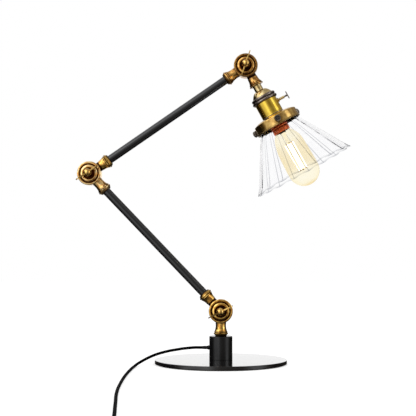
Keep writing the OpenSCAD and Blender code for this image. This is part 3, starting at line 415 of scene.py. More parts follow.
# the glass stem inside the bulb, drawn and pinched
drawnGlass = glassFinish("drawnStemGlass", ("#fdf7e4", "#fffaf0"), "#f3dfa8", 1.06, 0.02, 3.0)
# lit phosphor strip: warm white, a little deeper at its grains
litPhosphor = makeFinish("litPhosphorStrip", 0.8, 3.0, [(0.3, "#ffe9b8"), (0.6, "#fff8e8")], 0, {
    "Roughness": 0.5, "IOR": 1.45, "Emission Strength": 3.0})
print("finishes made: %d" % len(bpy.data.materials))

# Cord: an even flex from the strain relief to the table, then in front of the lamp to a coil outside the view
cordSettings = {
    "diameter": 4.0,
    "route": [                  # from the strain relief's tip to the coil, as the part's own route
        (-26.6, 0, 23.4), (-31.6, 0, 23.4), (-37, 0, 23.4), (-43.6, -0.1, 22.9), (-50.8, -0.2, 22.2),
        (-58, -0.5, 21.3), (-65.2, -1, 20.1), (-72.3, -2.2, 19), (-79.3, -4, 17.5), (-86.2, -6.5, 15.9),
        (-93.1, -10, 13.9), (-99.8, -14.5, 11.5), (-106.2, -20.7, 8.7), (-112.2, -30, 5.8),
        (-116.2, -40, 3.8), (-118.3, -52, 2.5), (-119.4, -66, 2), (-119.8, -82, 2), (-119.9, -98, 2),
        (-120, -115, 2), (-119.9, -132, 2), (-119.7, -150, 2), (-119.3, -171, 2), (-118.7, -192, 2),
        (-117.9, -212, 2), (-117, -232, 2), (-116.1, -251, 2), (-115.1, -270, 2), (-114, -288, 2),
        (-112.7, -305, 2), (-111.3, -322, 2), (-109.8, -339, 2), (-108.1, -356, 2), (-106.2, -373, 2),
        (-104.2, -391, 2), (-102.3, -409, 2), (-100.3, -428, 2), (-97.9, -450, 2), (-95.3, -474, 2),
        (-92.9, -500, 2), (-91.2, -526, 2.3), (-90.4, -550, 2.7), (-90.2, -569, 2.7), (-90.2, -587, 2.7),
    ],
    "turns": 8,
    "inside": 15,               # radius of the innermost turn
    "pitch": 4.7,               # between turns of one layer
    "climb": 4.6,               # of the upper layer over the lower
    "softening": 0.15,          # of the place where the winding turns back, in turns
    "lead": 4,                  # straight stretch before and after the turns
    "tail": 30,                 # length over which the end comes down to the plug
    "plugHeight": 6.5,
    "turnSteps": 40,
    "tailSteps": 12,
}


def smoothRoute(points):
    # one more point halfway along the curve through each two neighbours
    result = []
    for i in range(len(points) - 1):
        near = [Vector(points[max(0, min(len(points) - 1, i + j))]) for j in (-1, 0, 1, 2)]
        result += [near[1], (9 * (near[1] + near[2]) - near[0] - near[3]) / 16]
    return result + [Vector(points[-1])]


def coilRadius(s, turn):
    return s["inside"] + s["pitch"] * (math.hypot(turn - s["turns"] / 2, s["softening"]) - s["softening"])


def cordPoints(s):
    points = smoothRoute(smoothRoute(s["route"]))
    center = points[-1] + Vector((coilRadius(s, 0), -s["lead"], 0))
    for i in range(s["turns"] * s["turnSteps"] + 1):
        turn = i / s["turnSteps"]
        angle = math.pi + fullTurn * turn
        climb = s["climb"] * ease((turn - s["turns"] / 2) * 2 + 0.5)
        around = Vector((math.cos(angle), math.sin(angle), 0)) * coilRadius(s, turn)
        points.append(center + around + Vector((0, 0, climb)))
    last = points[-1].copy()
    for i in range(1, s["tailSteps"] + 1):
        share = i / s["tailSteps"]
        points.append(last + Vector((0, -s["tail"] * share, (s["plugHeight"] - last.z) * ease(share))))
    points.append(Vector((last.x, last.y - s["tail"] - s["lead"], s["plugHeight"])))
    return [point * mm for point in points], center, points[-1] * mm


cordPath, coilCenter, plugPlace = cordPoints(cordSettings)
cordCurve = bpy.data.curves.new("cord", "CURVE")
cordCurve.dimensions = "3D"
cordCurve.bevel_depth = cordSettings["diameter"] / 2 * mm
cordCurve.bevel_resolution = 4
cordCurve.use_fill_caps = True
cordSpline = cordCurve.splines.new("POLY")
cordSpline.points.add(len(cordPath) - 1)
for splinePoint, point in zip(cordSpline.points, cordPath):
    splinePoint.co = (*point, 1)
cordCurve.materials.append(extrudedPvc)
cord = addObject("cord", cordCurve)
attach(cord, "base")
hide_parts("cord_run", "cord_coil")

plugSettings = {
    "size": (24, 22, 12.6),     # width, length and height
    "tail": 14,                 # tapered sleeve in front of the body
    "tailRadius": (2.7, 4.5),
    "taper": 5,
    "edge": 2,
    "rounding": 1.3,
    "grips": (4, 1.1, 2.2, 3.1),        # finger grooves: number, radius, first place, spacing
    "rings": (5, 1.2, 2.6),             # grooves of the sleeve: number, first place, spacing
}
tieSettings = {"width": 6, "thickness": 0.6, "play": 0.1, "corner": 1.6}


def plugBody(s):
    # a block with tapered ends and rounded edges, finger grooves on both sides and a ribbed sleeve
    wide, long, tall = s["size"]
    body = moved(block(wide, long, tall), shift(0, -(s["tail"] + long / 2), 0))
    for side, step in ((-1, s["edge"]), (1, s["taper"])):
        ends = [face for face in body.faces if face.normal.y * side > 0.9]
        pushed = bmesh.ops.extrude_face_region(body, geom=ends)
        bmesh.ops.delete(body, geom=ends, context="FACES_ONLY")
        tips = [item for item in pushed["geom"] if isinstance(item, bmesh.types.BMVert)]
        level = {v for face in body.faces for v in face.verts if abs(v.co.y - tips[0].co.y) < 1e-6}
        bmesh.ops.translate(body, verts=list(level - set(tips)), vec=(0, -side * step * mm, 0))
        bmesh.ops.scale(body, verts=tips, vec=[1 - 2 * s["edge"] / wide, 1, 1 - 2 * s["edge"] / tall])
    bmesh.ops.recalc_face_normals(body, faces=body.faces)
    bevelSharp(body, s["rounding"], 4, 10)
    count, gripRadius, first, spacing = s["grips"]
    grooves = []
    for i in range(count):
        for side in (-1, 1):
            place = shift(side * (wide / 2 + 0.45), -(s["tail"] + s["taper"] + first + spacing * i), 0)
            grooves.append(moved(rod(gripRadius, -tall / 2 + 2.4, tall / 2 - 2.4, 16), place))
    body = combineShapes(body, cut=grooves)
    thin, thick = s["tailRadius"]
    profile = [(0, 0), (2.05, 0), (thin, 0.1)]
    count, first, spacing = s["rings"]
    for i in range(count):
        start = first + i * spacing
        radius = thin + (thick - thin) * start / s["tail"]
        profile += [(radius, start), (radius - 0.6, start + 0.3), (radius - 0.5, start + 1.1),
                    (radius + 0.25, start + 1.4)]
    profile += [(thick, s["tail"]), (thick, s["tail"] + 3), (0, s["tail"] + 3)]
    return joinShapes(body, moved(lathe(profile, 40), toFront))


def coilTie(s, coil):
    # a flat strap round the two layers of turns, on the coil's right
    outer, inner = coilRadius(coil, 0), coil["inside"]
    around = coil["diameter"] + 2 * s["play"] + 2 * s["thickness"]
    bm = block(outer - inner + around, s["width"], coil["climb"] + around)
    bmesh.ops.delete(bm, geom=[face for face in bm.faces if abs(face.normal.y) > 0.9], context="FACES_ONLY")
    corners = [edge for edge in bm.edges if abs(edge.verts[0].co.y - edge.verts[1].co.y) > 1e-4]
    bevelEdges(bm, corners, s["corner"], 5)
    bmesh.ops.recalc_face_normals(bm, faces=bm.faces)
    bmesh.ops.solidify(bm, geom=bm.faces, thickness=s["thickness"] * mm)
    return bm, shift(*(coilCenter + Vector(((outer + inner) / 2, 0, coil["climb"] / 2))))


makePiece("plug", plugBody(plugSettings), Matrix.Translation(plugPlace), mouldedPvc, "base", "plug_body")
tieShape, tiePlace = coilTie(tieSettings, cordSettings)
makePiece("coilTie", tieShape, tiePlace, wovenNylon, "base", "coil_tie")
dressNodes(turnedBrass, "plug_blades")

# Base: disc, pad, post and strain relief
baseSettings = {"radius": 95, "bottom": 1.0, "top": 6.5, "edge": 0.8, "padRadius": 92}
postSettings = {
    "radius": 16.6,
    "bottom": 6.5,
    "top": 39.8,
    "edge": 0.7,
    "wall": 6,
    "roof": 6,
    "threadHole": 5.05,
    "outlet": (2.85, 5, 25),    # radius of the cord's hole, and where its cutter starts and ends
    "outletHeight": 23.4,
}
reliefSettings = {
    "inside": 9.7,              # where it starts, from the post's axis
    "tip": 26.6,
    "flange": (16.9, 18.2, 3.25),       # start, end and radius
    "radii": (2.6, 2.3),
    "ribs": 3,
}


def baseDisc(s):
    r, low, high, e = s["radius"], s["bottom"], s["top"], s["edge"]
    profile = [(0, low), (r - e, low)] + arcPoints((r - e, low + e), e, -90, 0, 4)[1:]
    profile += arcPoints((r - e, high - e), e, 0, 90, 6) + [(r - e - 0.6, high), (r * 0.6, high), (0, high)]
    return lathe(profile, 192)


def basePad(s):
    r = s["padRadius"]
    return lathe([(0, 0), (r - 0.4, 0), (r, 0.3), (r, 0.7), (r - 0.2, 1.0), (0, 1.0)], 128)


def basePost(s):
    r, low, high, e = s["radius"], s["bottom"], s["top"], s["edge"]
    inner, roof, hole = r - s["wall"], high - s["roof"], s["threadHole"]
    profile = [(inner, low), (r - 0.3, low), (r, low + 0.3)] + arcPoints((r - e, high - e), e, 0, 90, 5)
    profile += [(hole, high), (hole, roof), (inner, roof)]
    outlet = moved(rod(*s["outlet"], 40), toLeft)
    moved(outlet, shift(0, 0, s["outletHeight"]))
    return combineShapes(lathe(profile, 128, closed=True), cut=[outlet])


def strainRelief(s):
    # a ribbed tapering sleeve with a snap-in flange
    start, end, flangeRadius = s["flange"]
    thick, thin = s["radii"]
    profile = [(0, s["inside"]), (thick - 0.2, s["inside"]), (thick + 0.2, s["inside"] + 0.8),
               (thick + 0.2, start), (flangeRadius, start), (flangeRadius, end - 0.4),
               (flangeRadius - 0.4, end), (thick, end + 0.1)]
    length = (s["tip"] - 1.5 - end) / s["ribs"]
    for i in range(s["ribs"]):
        along = end + 0.6 + length * i
        radius = thick + (thin - thick) * (along - end) / (s["tip"] - end)
        profile += [(radius, along), (radius, along + length * 0.62), (radius - 0.45, along + length * 0.7),
                    (radius - 0.45, along + length * 0.92)]
    profile += [(thin, s["tip"] - 0.8), (thin - 0.1, s["tip"]), (0, s["tip"])]
    return lathe(profile, 48)


makePieces(baseSettings, upright, "base", [
    ("baseDisc", baseDisc, bakedEnamel, "base_disc", "gloss_black_enamel"),
    ("basePad", basePad, pressedFelt, "base_pad", "felt"),
])
makePiece("basePost", basePost(postSettings), upright, satinLacquer, "base", "base_post")
makePiece("strainRelief", strainRelief(reliefSettings), shift(0, 0, postSettings["outletHeight"]) @ toLeft,
          mouldedPvc, "base", "strain_relief")
dressNodes(zincPlate, "post_screws", "post_nipple", "post_nut", "adapter_nut")
dressNodes(glazedPorcelain, "terminal_block")
dressNodes(extrudedPvc, "cord_tail")
dressNodes(leadSleeve, "base_leads", "lower_leads", "upper_leads", "head_leads")
print("base built")

# Knuckles: each half is a turned disc with a flared neck, distances measured from the arms' plane
knuckleSettings = {
    "radius": 17.25,
    "inner": 0.5,               # the half's flat inner face
    "lipOut": 9.0,
    "lipWidth": 3.4,
    "lipRise": 1.2,
    "grooveOut": 7.6,
    "ringRadius": 12.4,
    "ringOut": 10.0,
    "ringCurve": (2.9, 1.7),
    "funnel": [                 # its radius, and how far that lies below the ring's top
        (9.1, 0.08), (8.75, 0.3), (8.45, 0.8), (8.25, 1.5), (8.15, 2.4),
    ],
    "recessRadius": 8.1,
    "recessOut": 6.2,
    "hollowRadius": 13.6,
    "hollowOut": 4.8,
    "bossRadius": 5.0,
    "boltHole": 2.55,
    "rimClearance": 17.85,      # radius of the cut that clears the other half
    "frontCut": (17.05, 7.1),   # the neck stays out of the groove
    "threadHole": 5.05,
    "threadDepth": 10.5,
}
neckSettings = {
    "start": 14.1,
    "waist": 7.5,
    "bead": 10.5,
    "beadAt": 32.8,
    "foot": (7.5, 35.8),
    "flareLength": 7,
    "flareSteps": 12,
    "shadowBandEnd": 19.75,           # of the narrower band at the root of a rear half's neck, painted dark for the shadow in the gap behind the front disc
    "rootEnd": 18.1,            # of the step at the root of a front half's neck, painted darker for the shade under the disc
}


def knuckleDisc(s):
    r, lip, low, high = s["radius"], s["lipOut"], s["grooveOut"], s["ringOut"]
    ring, half, rise, curve = s["ringRadius"], s["lipWidth"] / 2, s["lipRise"], s["ringCurve"]
    profile = [(s["boltHole"], s["inner"]), (s["bossRadius"], s["inner"]), (s["bossRadius"], s["hollowOut"]),
               (s["hollowRadius"], s["hollowOut"]), (s["hollowRadius"], s["inner"]), (r - 0.3, s["inner"]),
               (r, s["inner"] + 0.3), (r, lip - rise - 0.2)]
    profile += arcPoints((r - half, lip - rise), half, 0, 180, 12, rise)
    profile += [(r - 2 * half, low + 0.15), (r - 2 * half - 0.15, low), (ring + 0.15, low), (ring, low + 0.2),
                (ring, high - curve[1] - 0.1)]
    profile += arcPoints((ring - curve[0], high - curve[1]), curve[0], 0, 90, 12, curve[1])
    profile += [(radius, high - drop) for radius, drop in s["funnel"]]
    profile += [(s["recessRadius"], s["recessOut"] + 0.3), (s["recessRadius"] - 0.3, s["recessOut"]),
                (s["boltHole"], s["recessOut"])]
    return moved(lathe(profile, 120, closed=True), toFront)


def knuckleNeck(s, footed, rear):
    waist, bead, at = s["waist"], s["bead"], s["beadAt"]
    if rear:
        profile = [(0, s["start"]), (waist - 0.5, s["start"]), (waist - 0.5, s["shadowBandEnd"]),
                   (waist - 0.05, s["shadowBandEnd"] + 0.15)]
    else:
        profile = [(0, s["start"]), (waist + 0.4, s["start"]), (waist + 0.1, s["rootEnd"]),
                   (waist, s["rootEnd"] + 0.4)]
    for i in range(s["flareSteps"] + 1):
        share = i / s["flareSteps"]
        along = at - 4.4 - s["flareLength"] * (1 - share)
        profile.append((waist + (bead - 1.5 - waist) * share ** 2.0, along))
    for drop, back in ((1.7, 4.1), (0.9, 3.85), (0.7, 3.3), (0.9, 2.8), (1.5, 2.6), (1.5, 2.1), (0.4, 1.85),
                       (0, 1.3), (0.1, 0.6), (0.4, 0.2), (0.4, 0.05)):
        profile.append((bead - drop, at - back))
    if footed:
        footRadius, footEnd = s["foot"]
        profile += [(bead - 0.5, at + 0.2), (bead - 1.1, at + 0.5), (footRadius + 0.5, footEnd - 0.3),
                    (footRadius, footEnd), (0, footEnd)]
    else:
        profile += [(bead - 0.4, at), (0, at)]
    return lathe(profile, 72)


def patinateAndShadeKnuckle(bm, s, rear, lipDarkening, neckDarkening):
    # patina and painted shade in groove and funnel and in the neck's fine rings; a painted shadow at the
    # neck's root; a painted coppery reflection on the bead; and a set darkening of lip and neck
    patinaTintAndShade = bm.verts.layers.float.get("patinaTintAndShade") or bm.verts.layers.float.new("patinaTintAndShade")
    lipInside = s["radius"] - s["lipWidth"]
    for vert in bm.verts:
        out, radius, along = -vert.co.y / mm, math.hypot(vert.co.x, vert.co.z) / mm, vert.co.z / mm
        vert[patinaTintAndShade] = 0.0
        if radius < s["radius"] + 0.1 and out > s["hollowOut"] + 0.5:
            if radius < s["ringRadius"] - 3:
                vert[patinaTintAndShade] = ease((s["ringOut"] - 0.5 - out) / 1.5)
            elif radius < lipInside + 0.1:
                vert[patinaTintAndShade] = ease((s["lipOut"] - 0.4 - out) / 0.8)
            else:
                vert[patinaTintAndShade] = max(lipDarkening, ease((lipInside + 0.9 - radius) / 0.8))
        elif radius > s["radius"] + 0.1:
            fromBead = along - neckSettings["beadAt"]
            vert[patinaTintAndShade] = neckDarkening
            # painted shadow: a black band at a rear neck's root for the gap behind the front disc, and a
            # darker band under the disc on a front neck
            if along < (neckSettings["shadowBandEnd"] + 0.05 if rear else neckSettings["rootEnd"] + 0.1):
                vert[patinaTintAndShade] = 1.0 if rear else 0.6
            elif fromBead > -4.45 and sideways(vert)[0] / mm < neckSettings["bead"] - 1.2:
                vert[patinaTintAndShade] = 1.0
            # painted reflection: the bead's coppery tone, for the brass it mirrors
            elif fromBead > -2:
                vert[patinaTintAndShade] = 0.35
    return bm


def knuckleHalf(s, footed, rear, lipDarkening, neckDarkening):
    reach = neckSettings["foot"][1] if footed else neckSettings["beadAt"]
    clearance = moved(rod(s["rimClearance"], -40, s["inner"], 120), toFront)
    front = moved(rod(*s["frontCut"], 20, 120), toFront)
    neck = combineShapes(knuckleNeck(neckSettings, footed, rear), cut=[clearance, front])
    hole = rod(s["threadHole"], reach - s["threadDepth"], reach + 5, 40)
    return patinateAndShadeKnuckle(combineShapes(knuckleDisc(s), [neck], [hole]), s, rear, lipDarkening, neckDarkening)


knuckleHalves = [       # name, joint, turn of its arm, rear, footed, darkening of lip and neck, finish, body, node
    ("shoulderFront", shoulder, 0, False, True, (0.15, 0.0), agedBrass, "base", "shoulder_front"),
    ("shoulderRear", shoulder, lowerTurn, True, True, (0.15, 0.0), agedBrass, "lower_arm", "shoulder_rear"),
    ("elbowFront", elbow, lowerTurn, False, True, (0.0, 0.2), goldenBrass, "lower_arm", "elbow_front"),
    ("elbowRear", elbow, upperTurn, True, True, (0.1, 0.0), agedBrass, "upper_arm", "elbow_rear"),
    ("headFront", head, upperTurn, False, True, (0.5, 0.1), darkBrass, "upper_arm", "head_front"),
    ("headRear", head, headTurn, True, False, (0.4, 0.1), darkBrass, "head", "head_rear"),
]
for name, origin, turn, rear, footed, darkenings, finish, body, node in knuckleHalves:
    place = placeAt(origin, turn) @ mirrorBack if rear else placeAt(origin, turn + math.pi)
    half = knuckleHalf(knuckleSettings, footed, rear, *darkenings)
    makePiece(name, half, place, finish, body, node)
dressNodes(pressedFibre, "shoulder_washer", "elbow_washer", "head_washer")
print("knuckles built")

# Wing keys and cap nuts
keySettings = {
    "bolt": (2.5, -11.2),       # radius, and where it ends behind
    "collar": (5.3, 6.5, 1.6, 1.8),     # radius, start, thickness, cone
    "stem": 3.0,
    "stemRing": (16.7, 17.3),
    "ball": (5.65, 23),
    "span": 39,
    "lobe": 4.75,
    "root": (2.6, 3.2),         # radius, and place from the axis
    "thickness": (1.4, 2.3),    # at the lobe and at the root
    "edge": 0.4,
}
nutSettings = {"across": 9, "height": 4.8, "dome": 4.2, "at": 6.2, "bolt": 2.55, "boltDepth": 5.5}


def keyTurned(s):
    # bolt, collar, stem and ball in one turning; collar and stem painted dark for the shade in the knuckle's
    # recess where they sit, and the ball a little
    boltRadius, boltEnd = s["bolt"]
    collar, start, thick, cone = s["collar"]
    ballRadius, out = s["ball"]
    stem, (ringStart, ringEnd) = s["stem"], s["stemRing"]
    profile = [(0, boltEnd), (boltRadius - 0.4, boltEnd), (boltRadius, boltEnd + 0.4), (boltRadius, start),
               (collar - 0.2, start, 1), (collar, start + 0.2, 1), (collar, start + thick - 0.3, 1),
               (collar - 0.3, start + thick, 1), (stem + 0.5, start + thick + cone * 0.6, 1),
               (stem, start + thick + cone + 0.5, 0.9), (stem - 0.15, 14, 0.5), (stem, ringStart - 0.5, 0.3),
               (stem + 0.35, ringStart, 0.4), (stem + 0.35, ringEnd, 0.2)]
    profile += [(*point, 0.12) for point in arcPoints((0, out), ballRadius, -52, 90, 18)]
    profile[-1] = (0, out + ballRadius, 0.12)
    return moved(lathe(profile, 64), toFront)


def keyBlade(s, lowerWingShade, upperWingShade):
    # each wing is the hull of a lobe and a slimmer root, thin and rounded at its edges
    rootRadius, rootAt = s["root"]
    tipThick, rootThick = s["thickness"]
    blade = joinShapes(*[wrapDrums([(s["lobe"], tipThick, (side * (s["span"] / 2 - s["lobe"]), 0, 0)),
                                    (rootRadius, rootThick, (side * rootAt, 0, 0))], 40, s["edge"])
                         for side in (-1, 1)])
    # painted shade: each wing gets its own darkness, for how the light falls on the thin blades
    patinaTintAndShade = blade.verts.layers.float.new("patinaTintAndShade")
    for vert in blade.verts:
        vert[patinaTintAndShade] = lowerWingShade if vert.co.x < 0 else upperWingShade
    return moved(blade, shift(0, -s["ball"][1], 0))


def capNut(s):
    hexagon = bmesh.new()
    corner = s["across"] / 2 / math.cos(math.pi / 6)
    drum(hexagon, corner, s["height"], shift(0, 0, s["at"] + s["height"] / 2), 6)
    bevelSharp(hexagon, 0.35, 3, 40)
    seat = s["at"] + s["height"] - 0.05
    dome = lathe([(0, seat - 0.55), (s["dome"], seat - 0.55), (s["dome"], seat)]
                 + arcPoints((0, seat), s["dome"], 4, 90, 10)[:-1] + [(0, seat + s["dome"])], 48)
    bore = rod(s["bolt"], s["at"] - 1, s["at"] + s["boltDepth"], 32)
    return combineShapes(hexagon, [dome], [bore])


keys = [                # joint, place, turn and painted shade of the two wings, turn, body and finish of the nut
    ("shoulder", shoulder, 27, (0.75, 0.0), lowerTurn, "lower_arm", agedBrass),
    ("elbow", elbow, 33.5, (0.15, 0.5), upperTurn, "upper_arm", goldenBrass),
    ("head", head, 71, (0.0, 0.0), headTurn, "head", darkBrass),
]
for name, origin, angle, wingShade, nutTurn, nutBody, nutFinish in keys:
    wings = moved(keyBlade(keySettings, *wingShade), turned(-angle, "Y"))
    makePiece(name + "Key", joinShapes(keyTurned(keySettings), wings), placeAt(origin, 0), turnedBrass,
              name + "_key", name + "_key")
    makePiece(name + "Nut", capNut(nutSettings), placeAt(origin, nutTurn) @ mirrorBack @ toFront, nutFinish,
              nutBody, name + "_nut")
print("keys and nuts built")

# Arm tubes
tubeSettings = {
    "radius": 6.0,
    "bore": 3.5,
    "thread": 5.0,
    "threadLength": 10,
    "start": 35.8,
    "length": 203.2,
    "chamfer": 0.25,
}


def armTube(s):
    r, bore, thread, cut, low = s["radius"], s["bore"], s["thread"], s["chamfer"], s["start"]
    high, deep = low + s["length"], s["threadLength"]
    profile = [(bore, low - deep), (thread, low - deep), (thread, low), (r - cut, low), (r, low + cut),
               (r, high - cut), (r - cut, high), (thread, high), (thread, high + deep), (bore, high + deep)]
    return lathe(profile, 72, closed=True)


for name, place, arm in (("lower", placeAt(shoulder, lowerTurn), "lower_arm"),
                         ("upper", placeAt(elbow, upperTurn), "upper_arm")):
    makePiece(name + "Tube", armTube(tubeSettings), place, tubeLacquer, arm, name + "_tube")
print("arms built")

# Lamp holder, as distances along the head's axis from the head knuckle
holderSettings = {
    "adapter": (6.3, 32.8, 41.2),           # radius, start, end
    "adapterThread": (5.0, 22.8, 46.4),
    "bore": 3.5,
    "dome": (6.5, 15.6, 41.2, 50.5),        # radius at the neck and at the edge, start, end
    "domeHole": 5.05,
    "domeWall": 1.2,
    "flange": (16.4, 52.0),
    "sleeve": (16.4, 52.0, 81.5, 15.4),     # radius, start, end, inner radius
    "ring": (19.2, 50.5, 59.5, 16.45),
    "core": (15.3, 54.0, 97.0),
    "shell": (13.15, 80.0, 97.0),
    "shellWall": 0.4,
    "switchAt": 66.0,
}


def headAdapter(s):
    radius, start, end = s["adapter"]
    thread, threadStart, threadEnd = s["adapterThread"]
    # painted shade at the ends, where it meets the knuckle and the dome
    profile = [(s["bore"], threadStart), (thread, threadStart), (thread, start), (radius, start, 0.6),
               (radius, start + 0.5, 0.2), (radius - 0.15, start + 1.2), (radius, start + 2),
               (radius, end - 0.4), (radius, end, 0.4), (thread, end), (thread, threadEnd),
               (s["bore"], threadEnd)]
    return lathe(profile, 72, closed=True)


def socketDome(s):
    # a flared cup: both of its walls rise with the square of the distance from the neck
    neck, edge, start, end = s["dome"]
    flange, flangeEnd = s["flange"]
    wall, hole = s["domeWall"], s["domeHole"]

    def cup(low, high, bottom, steps):
        return [(low + (high - low) * i / steps, bottom + (end - bottom) * (i / steps) ** 2)
                for i in range(steps + 1)]
    profile = [(hole, start)] + cup(neck, edge, start, 16) + [(flange, end), (flange, flangeEnd)]
    profile += [(edge - wall, flangeEnd)] + cup(neck + wall, edge - wall, start + wall, 10)[::-1]
    return lathe(profile + [(hole, start + wall)], 120, closed=True)


def socketRing(s):
    # a browned ring with two thick beads and a groove between, with painted shade in the groove and at its
    # ends
    radius, start, end, inner = s["ring"]
    profile = [(inner, start), (radius - 2.6, start, 0.6)]
    profile += arcPoints((radius - 2.1, start + 2.0), 1.3, -90, 70, 12, 1.9)
    profile += [(radius - 1.9, start + 4.1, 1.0), (radius - 1.9, start + 4.5, 1.0)]
    profile += arcPoints((radius - 1.4, start + 6.5), 1.4, -70, 80, 12, 1.9)
    profile += [(radius - 1.5, end - 0.5, 0.8), (radius - 2.0, end, 1.0), (inner, end)]
    return lathe(profile, 144, closed=True)


def socketSleeve(s):
    radius, start, end, inner = s["sleeve"]
    # the fine groove near its end is painted dark for the shade in it
    profile = [(inner, start), (radius - 0.1, start), (radius, start + 0.2), (radius, end - 2.0),
               (radius - 0.18, end - 1.7, 0.8), (radius, end - 1.4), (radius, end - 0.2), (radius - 0.2, end),
               (inner, end)]
    hole = moved(rod(2.2, 10, 20, 32), shift(0, 0, s["switchAt"]) @ toLeft)
    return combineShapes(lathe(profile, 144, closed=True), cut=[hole])


def socketCore(s):
    radius, start, end = s["core"]
    shell, floor = s["shell"][:2]
    bore = shell + s["shellWall"] + 0.05
    return lathe([(0, start), (radius - 0.5, start), (radius, start + 0.5), (radius, end - 0.8),
                  (radius - 0.8, end), (bore, end), (bore, floor), (0, floor)], 96)


def screwShell(s):
    # thin brass shell that takes the lamp cap's thread
    radius, start, end = s["shell"]
    wall = s["shellWall"]
    return lathe([(radius, start), (radius + wall, start), (radius + wall, end - 0.3),
                  (radius + wall - 0.1, end), (radius + 0.05, end), (radius, end - 0.2)], 96, closed=True)


makePieces(holderSettings, headPlace, "head", [
    ("headAdapter", headAdapter, paleBrass, "head_adapter", "antique_brass"),
    ("socketDome", socketDome, paleBrass, "socket_dome", "antique_brass"),
    ("socketRing", socketRing, brownedBronze, "socket_ring", "dark_bronze"),
    ("socketSleeve", socketSleeve, spunBrass, "socket_sleeve", "polished_brass"),
    ("socketCore", socketCore, glazedPorcelain, "socket_core", "porcelain"),
    ("screwShell", screwShell, pressedBrass, "screw_shell", "polished_brass"),
])
dressNodes(pressedBrass, "centre_contact")
print("lamp holder built")

# Switch: a beaded bushing and a T key
switchSettings = {
    "root": 13.4,
    "end": 27.0,
    "radius": 2.1,
    "flange": (3.3, 16.6, 18.0),
    "beads": (19.3, 21.9, 24.5),
    "bore": 1.25,
    "spindle": (1.2, 7.0),
    "bar": (32.3, 11.9, 3.2, 1.4),      # distance out, length, width, thickness
    "barEdge": 0.45,
}


def switchBushing(s):
    flange, low, high = s["flange"]
    r, bore = s["radius"], s["bore"]
    # painted shade at the flange and in the creases between the beads
    profile = [(bore, s["root"]), (r, s["root"]), (r, low), (flange - 0.2, low, 0.5), (flange, low + 0.2),
               (flange, high - 0.3), (flange - 0.3, high), (r - 0.3, high + 0.4, 0.5),
               (r - 0.45, high + 0.9, 0.4)]
    for start in s["beads"]:
        profile += [(r - 0.4, start - 0.1, 0.5), (r - 0.05, start + 0.3), (r, start + 1.0),
                    (r - 0.05, start + 1.7), (r - 0.4, start + 2.1, 0.5)]
    profile += [(r - 0.5, s["end"] - 0.1), (bore, s["end"])]
    return lathe(profile, 40, closed=True)


def switchKey(s):
    radius, start = s["spindle"]
    out, length, width, thick = s["bar"]
    # painted shade in the spindle's grooves under the bar
    spindle = lathe([(0, start), (radius, start), (radius, out - 3.2), (radius + 0.25, out - 2.9, 0.5),
                     (radius + 0.35, out - 2.3), (radius + 0.2, out - 1.7, 0.5), (radius, out - 1.3),
                     (radius, out), (0, out)], 32)
    ends = [(width / 2, thick, (side * (length - width) / 2, 0, out)) for side in (-1, 1)]
    return joinShapes(spindle, wrapDrums(ends, 28, s["barEdge"]))


switchPlace = headPlace @ outward(holderSettings["switchAt"], 180)
makePieces(switchSettings, switchPlace, "head", [
    ("switchBushing", switchBushing, paleBrass, "switch_bushing", "polished_brass"),
])
makePieces(switchSettings, switchPlace, "switch_key", [
    ("switchKey", switchKey, brownedBronze, "switch_key", "dark_bronze"),
])

# Gallery, clamping band, ring nut and thumb screws
gallerySettings = {
    "band": (17.1, 81.5, 83.0),             # radius, start, end
    "nut": (20.0, 83.9, 86.9),
    "bore": 15.35,
    "top": 83.0,
    "bottom": 100.0,
    "radius": 33.1,
    "flat": 22.0,
    "fall": 3.0,
    "wall": 0.9,
    "rim": (2.3, 0.9),                      # height, and how far it stands out
}
thumbSettings = {
    "count": 3,
    "first": -90,                           # degrees round the head's axis
    "at": 92.2,
    "hole": (1.55, 25, 40),
    "thread": (1.5, 29.75),
    "head": (4.7, 36.5, 41.5),
    "knurls": 26,
    "knurlDepth": 0.28,
}
thumbPlaces = [outward(thumbSettings["at"], thumbSettings["first"] + 360 / thumbSettings["count"] * i)
               for i in range(thumbSettings["count"])]


def turnedRing(bore, ring, chamfers, steps):
    radius, start, end = ring
    low, high = chamfers
    return lathe([(bore, start), (radius - low, start), (radius, start + 0.3), (radius, end - 0.3),
                  (radius - high, end), (bore, end)], steps, closed=True)


def clampBand(s):
    return turnedRing(s["bore"], s["band"], (0.3, 0.2), 120)


def galleryBell(s):
    # a stepped cup with a rolled rim, with painted shade inside it and round the rim
    r, top, bottom, w, bore, flat = (s[key] for key in ("radius", "top", "bottom", "wall", "bore", "flat"))
    rim, fall, out = bottom - s["rim"][0], top + s["fall"], r + s["rim"][1]
    profile = [(bore, top, 0.6), (flat - 1.5, top, 0.3), (flat, top + 0.1), (flat + 5, top + 1.0),
               (r - 2.4, fall - 0.5), (r - 1.0, fall + 0.1), (r - 0.3, fall + 0.7), (r, fall + 1.6),
               (r, rim - 0.3), (r + 0.1, rim, 0.9), (r + 0.6, rim + 0.2, 0.5), (out, rim + 0.7, 0.4),
               (out, bottom - 0.4, 0.5), (out - 0.4, bottom, 0.7), (r - w, bottom, 0.9),
               (r - w, fall + 1.8, 0.9), (r - 1.6 - w, fall + w, 0.9), (flat, top + w, 0.9),
               (bore, top + w, 0.9)]
    holes = [moved(rod(*thumbSettings["hole"], 24), place) for place in thumbPlaces]
    return combineShapes(lathe(profile, 168, closed=True), cut=holes)


def galleryNut(s):
    return turnedRing(s["bore"], s["nut"], (0.3, 0.3), 96)


